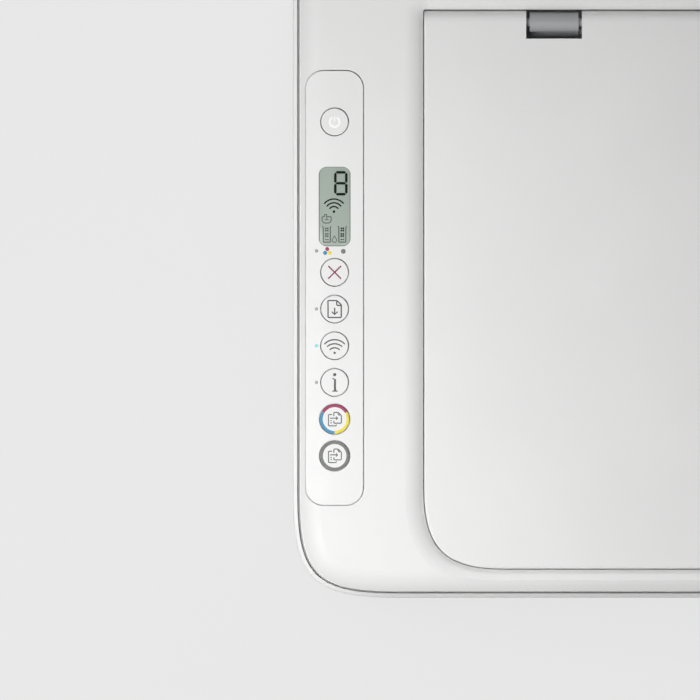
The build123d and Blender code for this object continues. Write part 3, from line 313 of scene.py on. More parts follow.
class Finish:
    """A node material that is built up step by step."""

    def __init__(self, name, color, roughness, **sockets):
        self.material = bpy.data.materials.new(name)
        self.material.use_nodes = True
        self.tree = self.material.node_tree
        self.shader = self.tree.nodes["Principled BSDF"]
        self.shader.inputs["Base Color"].default_value = (*color, 1)
        self.shader.inputs["Roughness"].default_value = roughness
        for socket, value in sockets.items():
            self.shader.inputs[socket.replace("_", " ")].default_value = value
        self.color = color
        self.bumps = None

    def add(self, kind, **inputs):
        """Adds a node. Each input is given by name, as a value or as another node's output."""
        node = self.tree.nodes.new(kind)
        for key, value in inputs.items():
            name = key.replace("_", " ")
            if name not in node.inputs:
                setattr(node, key, value)
            elif isinstance(value, bpy.types.NodeSocket):
                self.tree.links.new(value, node.inputs[name])
            else:
                node.inputs[name].default_value = value
        return node

    def place(self, stretch=(1, 1, 1)):
        """Object coordinates, stretched."""
        coordinates = self.add("ShaderNodeTexCoord").outputs["Object"]
        if stretch == (1, 1, 1):
            return coordinates
        return self.add("ShaderNodeMapping", Vector=coordinates, Scale=stretch).outputs["Vector"]

    def along(self, axis):
        """One coordinate of the place on the object."""
        return self.add("ShaderNodeSeparateXYZ", Vector=self.place()).outputs[axis]

    def math(self, operation, first, second=0.0):
        """A sum on two values, each a number or a node's output."""
        node = self.add("ShaderNodeMath", operation=operation)
        for socket, value in zip(node.inputs, (first, second)):
            if isinstance(value, bpy.types.NodeSocket):
                self.tree.links.new(value, socket)
            else:
                socket.default_value = value
        return node.outputs["Value"]

    def reach(self, axes, centre):
        """The distance from a straight line that runs square to two axes."""
        squares = []
        for axis, value in zip(axes, centre):
            offset = self.math("SUBTRACT", self.along(axis), value)
            squares.append(self.math("MULTIPLY", offset, offset))
        return self.math("SQRT", self.math("ADD", *squares))

    def beyond(self, value, limit):
        """One where a value is over a limit, and nought elsewhere."""
        return self.math("GREATER_THAN", value, limit)

    def noise(self, size, detail=3.0, stretch=(1, 1, 1)):
        """Cloudy grain whose grains are about size metres wide."""
        node = self.add("ShaderNodeTexNoise", Vector=self.place(stretch), Scale=1 / size, Detail=detail)
        return node.outputs["Fac"]

    def stripes(self, axis, pitch):
        """Even bands across one axis, from nought to one."""
        node = self.add("ShaderNodeTexWave", Vector=self.place(), bands_direction=axis)
        node.inputs["Scale"].default_value = math.pi / (10 * pitch)
        return node.outputs["Fac"]

    def ramp(self, value, low, high, start=0.0, end=1.0):
        """Maps a value from one range to another, held at the ends."""
        node = self.add("ShaderNodeMapRange", Value=value)
        node.inputs["From Min"].default_value = start
        node.inputs["From Max"].default_value = end
        node.inputs["To Min"].default_value = low
        node.inputs["To Max"].default_value = high
        return node.outputs["Result"]

    def mix(self, share, first, second):
        """Blends two colours."""
        node = self.add("ShaderNodeMix", data_type="RGBA")
        for index, value in ((0, share), (6, first), (7, second)):
            if isinstance(value, bpy.types.NodeSocket):
                self.tree.links.new(value, node.inputs[index])
            else:
                node.inputs[index].default_value = (*value[:3], 1)
        return node.outputs[2]

    def paint(self, socket, value):
        """Links a value to one of the shader's sockets."""
        self.tree.links.new(value, self.shader.inputs[socket])
        return self

    def tint(self, size, darker, stretch=(1, 1, 1), start=0.35, end=0.65):
        """Lets the colour drift towards a darker one in soft patches."""
        share = self.ramp(self.noise(size, 4, stretch), 0, 1, start, end)
        dark = tuple(channel * darker for channel in self.color)
        return self.paint("Base Color", self.mix(share, self.color, dark))

    def swap(self, share, color, roughness=None, base=None, metal=None):
        """Gives part of the piece another colour, and if asked another polish or a metal look."""
        socket = self.shader.inputs["Base Color"]
        under = socket.links[0].from_socket if socket.is_linked else self.color
        self.paint("Base Color", self.mix(share, under, color))
        if roughness is not None:
            self.paint("Roughness", self.ramp(share, base, roughness))
        if metal is not None:
            self.paint("Metallic", self.ramp(share, 1 - metal, metal))
        return self

    def polish(self, size, low, high, stretch=(1, 1, 1)):
        """Lets the roughness wander between two values."""
        return self.paint("Roughness", self.ramp(self.noise(size, 5, stretch), low, high, 0.3, 0.7))

    def bump(self, height, depth):
        """Raises the surface by a height value, in metres of depth."""
        node = self.add("ShaderNodeBump", Height=height, Distance=depth)
        if self.bumps:
            self.tree.links.new(self.bumps, node.inputs["Normal"])
        self.bumps = node.outputs["Normal"]
        return self.paint("Normal", self.bumps)

    def grain(self, size, depth, stretch=(1, 1, 1), detail=2.0):
        """Adds a fine cloudy relief."""
        return self.bump(self.noise(size, detail, stretch), depth)


def moulded(name, color, roughness=0.42, texture=0.02 * MM, size=0.5 * MM, **sockets):
    """Injection-moulded plastic: fine spark texture, faint flow shading and an uneven polish."""
    finish = Finish(name, color, roughness, **sockets)
    finish.tint(60 * MM, 0.975)
    finish.polish(9 * MM, roughness - 0.05, roughness + 0.06)
    finish.grain(size, texture)
    return finish.material


def printed(name, color, roughness=0.5, **sockets):
    """Pad-printed ink: thin, a little uneven, with tiny pinholes."""
    finish = Finish(name, color, roughness, **sockets)
    finish.tint(1.2 * MM, 0.86)
    finish.grain(0.15 * MM, 0.006 * MM)
    return finish.material


def steel(name, color=(0.58, 0.59, 0.6), roughness=0.3, stretch=(1, 1, 1), rub=0.2 * MM):
    """Bare or plated steel: rolling marks drawn out along the sheet, and cloudy plating."""
    finish = Finish(name, color, roughness, Metallic=1.0)
    finish.tint(25 * MM, 0.86)
    finish.polish(rub * 6, roughness - 0.07, roughness + 0.1, stretch)
    finish.grain(rub, 0.006 * MM, stretch, 4.0)
    return finish


def rubbery(name, color=(0.03, 0.03, 0.032), roughness=0.72):
    """Matt rubber with a fine ground surface and a little dust."""
    finish = Finish(name, color, roughness)
    finish.tint(3 * MM, 1.5)
    finish.polish(2 * MM, roughness - 0.08, roughness + 0.1)
    finish.grain(0.25 * MM, 0.05 * MM, detail=4.0)
    return finish


# ---------------------------------------------------------------- sizes and colours a user may change


class PrinterFinishes(bpy.types.PropertyGroup):
    """Colours of the printer's main plastics and inks."""

    shell: bpy.props.FloatVectorProperty(
        name="Shell", description="Colour of the casing", subtype="COLOR", default=(0.88, 0.88, 0.875),
        min=0, max=1
    )
    lid: bpy.props.FloatVectorProperty(
        name="Lid", description="Colour of the scanner lid", subtype="COLOR", default=(0.88, 0.88, 0.875),
        min=0, max=1
    )
    panel: bpy.props.FloatVectorProperty(
        name="Panel", description="Colour of the panel and keys", subtype="COLOR",
        default=(0.88, 0.88, 0.875),
        min=0, max=1,
    )
    mark: bpy.props.FloatVectorProperty(
        name="Marks", description="Colour of the lines on the keys", subtype="COLOR",
        default=(0.085, 0.085, 0.085),
        min=0, max=1,
    )
    signal: bpy.props.FloatVectorProperty(
        name="Lit lamp", description="Colour of the wireless lamp", subtype="COLOR",
        default=(0.02, 0.66, 0.74),
        min=0, max=1,
    )


class PrinterMarks(bpy.types.PropertyGroup):
    """Sizes of the printed marks."""

    line: bpy.props.FloatProperty(
        name="Line", description="Width of a printed line", default=0.56 * MM, unit="LENGTH",
        subtype="DISTANCE"
    )
    relief: bpy.props.FloatProperty(
        name="Relief", description="Thickness of the ink", default=0.05 * MM, unit="LENGTH",
        subtype="DISTANCE"
    )
    corner: bpy.props.FloatProperty(
        name="Corner", description="Rounding of a page's corners", default=0.4 * MM, unit="LENGTH",
        subtype="DISTANCE"
    )


class PrinterStage(bpy.types.PropertyGroup):
    """The studio round the printer."""

    camera_height: bpy.props.FloatProperty(
        name="Camera height", description="Height of the camera over the desk", default=9.0, unit="LENGTH",
        subtype="DISTANCE",
    )
    view_width: bpy.props.FloatProperty(
        name="View width", description="Width of what the camera sees at the printer's top", default=0.301,
        unit="LENGTH", subtype="DISTANCE",
    )
    overhead: bpy.props.FloatProperty(
        name="Overhead light", description="Power of the soft box over the panel in watts", default=4.1
    )
    side: bpy.props.FloatProperty(
        name="Side lights", description="Power of the low lights round the desk in watts", default=20.0
    )
    surround: bpy.props.FloatProperty(name="Surround", description="Brightness of the room", default=0.13)


# ---------------------------------------------------------------- the studio


class PRINTER_OT_stage(bpy.types.Operator):
    """Sets the floor, the soft studio lights and the camera over the control panel"""

    bl_idname = "printer.stage"
    bl_label = "Stage"

    def execute(self, context):
        stage = context.scene.printer_stage
        context.scene.view_settings.view_transform = "Standard"
        self.floor()
        self.room(context, stage.surround)
        self.light("overhead_light", (-0.38, -0.17, 0.78), (-0.38, -0.17, 0.0), 0.36, stage.overhead)
        for name, place, size, share in FILLS:
            self.light(name, place, (0, 0, AIM_HEIGHT), size, stage.side * share)
        self.camera(context, stage)
        return {"FINISHED"}

    def floor(self):
        """A pale sweep that glows a little, so that it stays even round the printer."""
        put_down()
        bpy.ops.mesh.primitive_plane_add(size=30, location=(0, 0, 0))
        floor = bpy.context.object
        floor.name = "studio_floor"
        paper = Finish(
            "studio_paper", (0.12, 0.12, 0.12), 0.95, Emission_Color=(1, 1, 1, 1),
            Emission_Strength=FLOOR_GLOW
        )
        paper.shader.inputs["Specular IOR Level"].default_value = 0.0
        paper.grain(2 * MM, 0.05 * MM)
        floor.data.materials.append(paper.material)
        floor.visible_diffuse = False

    def room(self, context, brightness):
        """An even grey room."""
        world = bpy.data.worlds.new("studio_room")
        context.scene.world = world
        world.use_nodes = True
        backdrop = world.node_tree.nodes["Background"]
        backdrop.inputs["Color"].default_value = (1, 1, 1, 1)
        backdrop.inputs["Strength"].default_value = brightness

    def light(self, name, place, target, size, power):
        """A square soft box that stays out of the picture."""
        put_down()
        bpy.ops.object.light_add(type="AREA", location=place)
        lamp = bpy.context.object
        lamp.name = name
        lamp.data.shape = "SQUARE"
        lamp.data.size = size
        lamp.data.energy = power
        lamp.visible_camera = False
        aim = Vector(target) - Vector(place)
        lamp.rotation_euler = aim.to_track_quat("-Z", "Y").to_euler()

    def camera(self, context, stage):
        """Looks straight down on the control panel from far above."""
        put_down()
        panel_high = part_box("control_panel")[1]
        left_of_edge, before_middle = 5.6 * MM, 26.7 * MM
        focus_x = panel_high.x - left_of_edge
        focus_y = middle("control_panel").y - before_middle
        height = stage.camera_height
        bpy.ops.object.camera_add(location=(focus_x, focus_y, height), rotation=(0, 0, 0))
        camera = bpy.context.object
        camera.name = "overhead_camera"
        camera.data.lens = camera.data.sensor_width * (height - panel_high.z) / stage.view_width
        camera.data.clip_end = 100
        context.scene.camera = camera


# ---------------------------------------------------------------- finishes of the CAD pieces

KEY_NODES = (
    "power_button cancel_button resume_button wireless_button information_button "
    "color_copy_button black_copy_button"
)


class PRINTER_OT_finishes(bpy.types.Operator):
    """Gives every CAD piece its finish"""

    bl_idname = "printer.finishes"
    bl_label = "Finishes"

    def execute(self, context):
        colors = context.scene.printer_finishes
        self.casing(colors)
        self.dark_plastics()
        self.metals()
        self.rollers()
        self.boards()
        self.glass()
        self.lamps(tuple(colors.signal))
        return {"FINISHED"}

    def casing(self, colors):
        """The white and grey outer plastics."""
        shell = moulded("shell_white", tuple(colors.shell), 0.46, Specular_IOR_Level=0.3)
        dress("lower_housing top_cover ink_door input_tray input_shield tray_extender paper_stop", shell)
        dress(
            "scanner_lid",
            moulded("lid_white", tuple(colors.lid), 0.5, 0.03 * MM, 0.7 * MM, Specular_IOR_Level=0.3)
        )
        dress(
            "control_panel",
            moulded("panel_white", tuple(colors.panel), 0.42, 0.006 * MM, Specular_IOR_Level=0.3)
        )
        dress(
            KEY_NODES, moulded("key_white", tuple(colors.panel), 0.42, 0.006 * MM, Specular_IOR_Level=0.3)
        )
        path = moulded("path_grey", (0.42, 0.43, 0.44), 0.5)
        dress("output_tray rear_chute left_guide right_guide lid_hinges", path)

    def dark_plastics(self):
        """The charcoal and black plastics inside, and the pale bearing plastic of the gears."""
        charcoal = moulded("base_charcoal", (0.035, 0.035, 0.038), 0.55, 0.05 * MM)
        dress("base_pan platen service_station scanner_base power_supply", charcoal)
        dress("carriage scan_head cap_sled", moulded("carriage_black", (0.02, 0.02, 0.022), 0.4))
        glossy = moulded("socket_black", (0.015, 0.015, 0.016), 0.3, 0.01 * MM)
        dress("black_cartridge power_inlet key_switches", glossy)
        dress("color_cartridge", moulded("cartridge_grey", (0.16, 0.17, 0.18), 0.32, 0.01 * MM))
        acetal = moulded("gear_acetal", (0.74, 0.72, 0.66), 0.38, 0.01 * MM)
        dress("scan_guide scan_pinion guide_pinion feed_gear motor_gear transfer_gear output_gear", acetal)
        dress("motor_pulley idler_pulley", acetal)

    def metals(self):
        """Rolled sheet, motor cans, screws and the data socket."""
        dress("engine_frame", steel("frame_sheet", (0.55, 0.56, 0.57), 0.34, (0.06, 1, 1)).material)
        dress(
            "carriage_motor feed_motor", steel("motor_can", (0.5, 0.5, 0.51), 0.28, (1, 0.1, 0.1)).material
        )
        dress("housing_screws", steel("screw_zinc", (0.62, 0.61, 0.56), 0.3).material)
        socket = steel("socket_tin", (0.6, 0.6, 0.6), 0.26)
        centre = middle("usb_socket")
        core = socket.reach(("X", "Z"), (centre.x, centre.z))
        inside = socket.beyond(3.1 * MM, core)
        socket.swap(inside, (0.02, 0.02, 0.022), metal=0.0)
        dress("usb_socket", socket.material)

    def rollers(self):
        """Rubber on hubs and shafts, told apart by the distance from each axle."""
        dress("feet drive_belt", rubbery("soft_black_rubber").material)
        self.tyre("pickup_roller", (0.72, 0.71, 0.68), 5 * MM, metal=False)
        self.tyre("pinch_rollers", (0.6, 0.6, 0.61), 1.5 * MM, metal=True)
        self.tyre("output_roller", (0.6, 0.6, 0.61), 4.5 * MM, metal=True)
        shaft = steel("grit_roller", (0.42, 0.43, 0.44), 0.42)
        shaft.grain(0.35 * MM, 0.06 * MM, detail=5.0)
        dress("feed_roller", shaft.material)

    def tyre(self, node, hub, radius, metal):
        """Rubber outside a radius, hub or shaft inside it."""
        finish = rubbery(f"{node}_rubber", (0.045, 0.045, 0.048))
        axle = middle(node)
        inside = finish.beyond(radius, finish.reach(("Y", "Z"), (axle.y, axle.z)))
        finish.bump(finish.stripes("X", 1.6 * MM), 0.05 * MM)
        finish.swap(inside, hub, 0.36, 0.75, 1.0 if metal else None)
        dress(node, finish.material)

    def boards(self):
        """Solder mask over copper tracks."""
        mask = Finish("solder_mask", (0.012, 0.1, 0.045), 0.34, Coat_Weight=0.4)
        tracks = mask.math(
            "MULTIPLY", mask.stripes("X", 2.2 * MM), mask.ramp(mask.noise(9 * MM), 0, 1, 0.45, 0.5)
        )
        mask.swap(mask.ramp(tracks, 0, 1, 0.6, 0.7), (0.03, 0.2, 0.09))
        mask.bump(tracks, 0.03 * MM)
        mask.polish(3 * MM, 0.28, 0.42)
        dress("main_board panel_board", mask.material)

    def glass(self):
        """Float glass with a faint green body and a trace of dust."""
        pane = Finish("scanner_float_glass", (0.86, 0.95, 0.91), 0.04, Transmission_Weight=0.92, IOR=1.52)
        pane.polish(30 * MM, 0.02, 0.09)
        pane.grain(40 * MM, 0.002 * MM)
        dress("scanner_glass", pane.material)

    def lamps(self, signal):
        """Frosted light guides: only the wireless one is lit."""
        guide = Finish("lamp_guides", (0.3, 0.3, 0.3), 0.3, Coat_Weight=0.3)
        guide.tint(0.6 * MM, 0.8)
        offset = guide.math(
            "ABSOLUTE", guide.math("SUBTRACT", guide.along("Y"), middle("wireless_button").y)
        )
        guide.swap(guide.beyond(3 * MM, offset), signal)
        guide.grain(0.2 * MM, 0.01 * MM)
        dress("indicator_lights", guide.material)


# ---------------------------------------------------------------- printed marks


class Marks:
    """Draws marks on the top of one node, with places in millimetres from its centre."""

    def __init__(self, node, body=None):
        self.centre = middle(node)
        self.top = top_of(node)
        self.body = body or node
        self.sizes = bpy.context.scene.printer_marks

    def at(self, x, y, lift=0.0):
        """The place over a point of the node's top."""
        return Vector((self.centre.x + x * MM, self.centre.y + y * MM, self.top + lift))

    def line(self, points, corner=0.0, closed=False, width=None):
        """A line through points."""
        drawn = wire([self.at(x, y) for x, y in points], corner, closed)
        return thicken(drawn, width or self.sizes.line, 2 * self.sizes.relief)

    def arc(self, centre, radius, first, last, width=None):
        """Part of a circle."""
        drawn = arc_wire(self.at(*centre), radius * MM, first, last)
        return thicken(drawn, width or self.sizes.line, 2 * self.sizes.relief)

    def dot(self, x, y, radius):
        """A round spot."""
        return disc(self.at(x, y, -0.1 * MM), radius * MM, 0.1 * MM + self.sizes.relief, edge=0.02 * MM)

    def patch(self, points):
        """A filled shape."""
        return plate([self.at(x, y) for x, y in points], Vector((0, 0, self.sizes.relief)))

    def waves(self, rows, dot, width=None):
        """Wireless waves over a dot. Each row gives its centre's height, its radius and its half angle."""
        arcs = [self.arc((dot[0], low), radius, 90 - half, 90 + half, width) for low, radius, half in rows]
        return [*arcs, self.dot(*dot)]

    def fit(self, pieces, name, material, slot="key_white"):
        """Joins the strokes into one piece that rides on the node's body."""
        return fit(joined(pieces), name, self.body, material)


class PRINTER_OT_key_marks(bpy.types.Operator):
    """Prints the power, cancel, resume, wireless, information and copy marks on the keys"""

    bl_idname = "printer.key_marks"
    bl_label = "Key marks"

    def execute(self, context):
        self.corner = context.scene.printer_marks.corner
        grey = printed("mark_grey", tuple(context.scene.printer_finishes.mark))
        self.power()
        self.cross()
        self.resume(grey)
        self.wireless(grey)
        self.information(grey)
        for node in ("color_copy_button", "black_copy_button"):
            self.copy(node, grey)
        self.rings()
        return {"FINISHED"}

    def power(self):
        """An open ring and a bar in a clear, softly lit window."""
        key = Marks("power_button")
        glow = Finish(
            "power_glow", (0.9, 0.9, 0.9), 0.4, Emission_Color=(1, 1, 1, 1), Emission_Strength=0.16
        )
        glow.tint(0.8 * MM, 0.95)
        pieces = [
            key.arc((0, 0), 2.15, 118, 422, 0.85 * MM), key.line([(0, 0.3), (0, 2.4)], width=0.6 * MM)
        ]
        key.fit(pieces, "power_mark", glow.material)

    def cross(self):
        """A cross."""
        key = Marks("cancel_button")
        strokes = [key.line([(-2.75, -2.75 * way), (2.75, 2.75 * way)], width=0.62 * MM) for way in (-1, 1)]
        key.fit(strokes, "cancel_mark", printed("mark_magenta", (0.27, 0.012, 0.085)))

    def resume(self, grey):
        """A page with a folded corner and an arrow pointing down."""
        key = Marks("resume_button")
        outline = [(-2.85, -3.65), (2.85, -3.65), (2.85, 1.8), (0.95, 3.65), (-2.85, 3.65)]
        pieces = [
            key.line(outline, self.corner, closed=True),
            key.line([(0.9, 3.55), (0.9, 1.55), (2.8, 1.55)], 0.5 * MM),
            key.line([(0, 0.5), (0, -2.3)]),
            key.line([(-1.25, -1.15), (0, -2.4), (1.25, -1.15)]),
        ]
        key.fit(pieces, "resume_mark", grey)

    def wireless(self, grey):
        """Three waves over a dot."""
        key = Marks("wireless_button")
        rows = ((-3.33, 5.93, 48), (-3.9, 4.75, 43.5), (-4.0, 3.1, 44.5))
        key.fit(key.waves(rows, (0, -3.07, 0.5)), "wireless_mark", grey)

    def information(self, grey):
        """A dotted stem with short feet."""
        key = Marks("information_button")
        pieces = [
            key.dot(0, 3.32, 0.68),
            key.line([(0.12, 1.5), (0.12, -3.6)], width=0.9 * MM),
            key.patch([(-1.05, 1.75), (-1.05, 1.45), (-0.25, 1.15), (-0.25, 1.9)]),
            key.patch(
                [(-1.15, -3.95), (1.35, -3.95), (1.35, -3.7), (0.5, -3.35), (-0.3, -3.35), (-1.15, -3.7)]
            ),
        ]
        key.fit(pieces, "information_mark", grey)

    def copy(self, node, grey):
        """One page over another, with an arrow across them."""
        key = Marks(node)
        thin = 0.44 * MM
        back = [(-1.1, 1.95), (-2.65, 1.95), (-2.65, -2.9), (0.7, -2.9), (0.75, -2.3)]
        front = [
            (-0.35, 1.3), (-0.35, 2.9), (1.5, 2.9), (2.9, 1.6), (2.9, -1.75), (-0.35, -1.75), (-0.35, -0.7)
        ]
        pieces = [
            key.line(back, self.corner, width=thin),
            key.line(front, self.corner, width=thin),
            key.line([(1.3, 2.4), (2.1, 1.5)], width=thin),
            key.line([(-1.95, 0.4), (1.2, 0.4)], width=thin),
            key.patch([(0.45, 1.25), (0.75, 1.25), (1.5, 0.4), (0.75, -0.45), (0.45, -0.45), (0.9, 0.4)]),
            key.line([(-1.8, -0.68), (-1.25, -0.68)], width=thin),
            key.line([(-1.8, -1.65), (-1.25, -1.65)], width=thin),
        ]
        key.fit(pieces, node.replace("button", "mark"), grey)

    def rings(self):
        """The flat rings round the copy keys: three inks on one, grey on the other."""
        key = Marks("color_copy_button")
        for ink, start, color in (("magenta", 30, MAGENTA), ("cyan", 150, CYAN), ("yellow", 270, YELLOW)):
            band = key.arc((0, 0), 5.74, start + 0.5, start + 119.5, 1.22 * MM)
            key.fit([band], f"{ink}_ring_band", printed(f"ring_{ink}", color))
        key = Marks("black_copy_button")
        key.fit(
            [key.arc((0, 0), 5.72, 0, 360, 1.25 * MM)], "black_copy_ring",
            printed("ring_grey", (0.19, 0.19, 0.185))
        )


# ---------------------------------------------------------------- the display


class PRINTER_OT_display(bpy.types.Operator):
    """Fills the small display: one digit, wireless waves, a tray picture, two ink gauges and a drop"""

    bl_idname = "printer.display"
    bl_label = "Display"

    def execute(self, context):
        ground = Finish("lcd_ground", (0.36, 0.43, 0.37), 0.24, Coat_Weight=0.5)
        ground.tint(20 * MM, 0.92)
        ground.grain(0.3 * MM, 0.002 * MM)
        dress("display", ground.material)
        screen = Marks("display", "printer_body")
        ink = printed("lcd_segment", (0.006, 0.012, 0.006), 0.5, Specular_IOR_Level=0.06)
        pale = printed("lcd_ghost", (0.1, 0.13, 0.1), 0.5, Specular_IOR_Level=0.06)
        self.rim(screen)
        self.digit(screen, ink)
        rows = ((-2.2, 5.4, 51), (-2.2, 3.8, 54), (-2.2, 2.2, 58))
        screen.fit(screen.waves(rows, (-0.3, -2.2, 0.55), 0.62 * MM), "display_waves", ink, "lcd")
        self.tray(screen, pale)
        for name, x, filling in (("color", -3.4, pale), ("black", 3.3, ink)):
            self.gauge(screen, name, x, filling, pale)
        self.drop(screen, pale)
        self.dots(screen)
        return {"FINISHED"}

    def rim(self, screen):
        """The dark line inside the window's edge: painted shade where the window's recessed edge shades the
        display.
        """
        low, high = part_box("display")
        half_x, half_y = ((high - low) / 2 / MM - Vector((0.55, 0.55, 0))).xy
        corners = [(-half_x, -half_y), (half_x, -half_y), (half_x, half_y), (-half_x, half_y)]
        # painted shade: a dark grey-green line drawn round the inside of the window, where its recessed
        # edge would cast shade
        painted_shade_line = screen.line(corners, 2.9 * MM, closed=True, width=0.5 * MM)
        screen.fit([painted_shade_line], "display_rim_painted_shade", printed("lcd_rim_painted_shade", (0.2, 0.24, 0.2), 0.35), "lcd")

    def digit(self, screen, ink):
        """Seven mitred segments."""
        left, right, low, step, half, gap = 0.3, 5.0, 5.3, 4.7, 0.55, 0.14
        pieces = []
        for level in range(3):
            y = low + step * level
            near, far = left + gap, right - gap
            bar = [(near, y), (near + half, y - half), (far - half, y - half), (far, y)]
            bar += [(far - half, y + half), (near + half, y + half)]
            pieces.append(screen.patch(bar))
        for x in (left, right):
            for level in range(2):
                near, far = low + step * level + gap, low + step * (level + 1) - gap
                bar = [(x, near), (x + half, near + half), (x + half, far - half), (x, far)]
                bar += [(x - half, far - half), (x - half, near + half)]
                pieces.append(screen.patch(bar))
        screen.fit(pieces, "display_digit", ink, "lcd")

    def tray(self, screen, pale):
        """A sheet over a tray, drawn in outline."""
        width = 0.4 * MM
        round_off = 0.25 * MM
        sheet = [(-5.4, -6.2), (-5.4, -4.4), (-4.4, -4.4), (-4.4, -3.4), (-3.4, -3.4), (-3.4, -5.2)]
        bed = [(-5.4, -6.2), (-4.6, -7.1), (-2.4, -7.1), (-1.5, -6.2), (-1.5, -4.4), (-3.4, -4.4)]
        pieces = [
            screen.line(sheet, round_off, width=width),
            screen.line(bed, round_off, width=width),
            screen.line([(-4.2, -5.6), (-2.6, -5.6)], width=width),
        ]
        screen.fit(pieces, "display_tray", pale, "lcd")

    def gauge(self, screen, name, x, filling, pale):
        """An ink gauge: a cup with rows of two bars."""
        bars = []
        for y, tall in ((-9.4, 0.36), (-10.35, 0.36), (-11.8, 0.36), (-12.75, 0.36), (-14.2, 0.2)):
            for side in (-0.42, 0.42):
                left, right = x + side - 0.34, x + side + 0.34
                bars.append(
                    screen.patch([(left, y - tall), (right, y - tall), (right, y + tall), (left, y + tall)])
                )
        screen.fit(bars, f"display_{name}_level", filling, "lcd")
        lip, wall = 1.85, 1.5
        cup = [
            (x - lip, -8.4), (x - wall, -9.0), (x - wall, -15.3), (x + wall, -15.3), (x + wall, -9.0),
            (x + lip, -8.4)
        ]
        screen.fit([screen.line(cup, 0.2 * MM, width=0.42 * MM)], f"display_{name}_cup", pale, "lcd")

    def drop(self, screen, pale):
        """An outlined drop between the gauges."""
        half = [(0.55, -13.6), (1.0, -14.3), (0.95, -14.9), (0.55, -15.3)]
        points = [(-0.1, -12.5), *((x - 0.1, y) for x, y in half), (-0.1, -15.45)]
        points += [(-0.1 - x, y) for x, y in reversed(half)]
        outline = screen.line(points, 0.2 * MM, closed=True, width=0.3 * MM)
        screen.fit([outline], "display_drop", pale, "lcd")

    def dots(self, screen):
        """The ink-colour dots printed on the panel under the display."""
        screen.top = top_of("control_panel") - 0.16 * MM
        inks = (("magenta", -3.2, -18.3, 0.86, MAGENTA), ("cyan", -4.15, -19.95, 0.86, CYAN),
                ("yellow", -2.25, -19.95, 0.86, YELLOW), ("grey", 3.7, -19.3, 1.03, (0.2, 0.2, 0.2)))
        for name, x, y, radius, color in inks:
            spot = disc(screen.at(x, y, -0.3 * MM), radius * MM, 0.5 * MM, edge=0.03 * MM)
            fit(spot, f"{name}_ink_dot", "printer_body", printed(f"dot_{name}", color))


# ---------------------------------------------------------------- soft pads


def pillow(node, pull):
    """A thin pad with the node's outline: its rims are pulled in, and it is smoothed all over."""
    low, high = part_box(node)
    thick = high.z - low.z
    piece = rounded_block(low, high, 16 * MM, segments=5)
    for level, way in ((low.z, 1), (high.z, -1)):
        pick(piece, "FACE", lambda face, level=level: all(abs(v.co.z - level) < 1e-6 for v in face.verts))
        bpy.ops.mesh.inset(thickness=0.8 * thick)
        bpy.ops.mesh.inset(thickness=3 * thick)
        rim = [
            v for v in bmesh.from_edit_mesh(piece.data).verts if abs(v.co.z - level) < 1e-6 and not v.select
        ]
        pick(piece, "VERT", lambda v, rim=rim: v in rim)
        bpy.ops.transform.translate(value=(0, 0, way * pull * thick))
    put_down()
    take(piece)
    bpy.ops.object.modifier_add(type="SUBSURF")
    smoothing = piece.modifiers[-1]
    smoothing.levels = 2
    smoothing.render_levels = 2
    bpy.ops.object.modifier_apply(modifier=smoothing.name)
    return piece


class PRINTER_OT_pads(bpy.types.Operator):
    """Makes the soft foam under the lid and the felt that soaks up waste ink"""

    bl_idname = "printer.pads"
    bl_label = "Soft pads"

    def execute(self, context):
        foam = Finish("lid_foam", (0.86, 0.86, 0.85), 0.78, Sheen_Weight=0.25, Subsurface_Weight=0.1)
        foam.tint(40 * MM, 0.96)
        foam.grain(0.5 * MM, 0.06 * MM, detail=4.0)
        foam.grain(28 * MM, 0.3 * MM)
        self.pad("lid_pad", "lid_foam_sheet", "scanner_lid", "pad", foam.material, 0.7)
        felt = Finish("wool_felt", (0.62, 0.6, 0.56), 0.95, Sheen_Weight=0.5)
        felt.tint(6 * MM, 0.8)
        felt.grain(0.35 * MM, 0.3 * MM, (1, 4, 1), 5.0)
        felt.grain(0.35 * MM, 0.3 * MM, (4, 1, 1), 5.0)
        felt.grain(7 * MM, 0.5 * MM)
        self.pad("waste_ink_pad", "waste_felt", "printer_body", "felt", felt.material, 0.5)
        return {"FINISHED"}

    def pad(self, node, name, body, slot, material, fill):
        """One padded piece in place of its CAD solid."""
        piece = fit(pillow(node, 0.22), name, body, material)
        smoothed(piece, 60)
        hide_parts(node)
        put_down()


# ---------------------------------------------------------------- scanner fittings


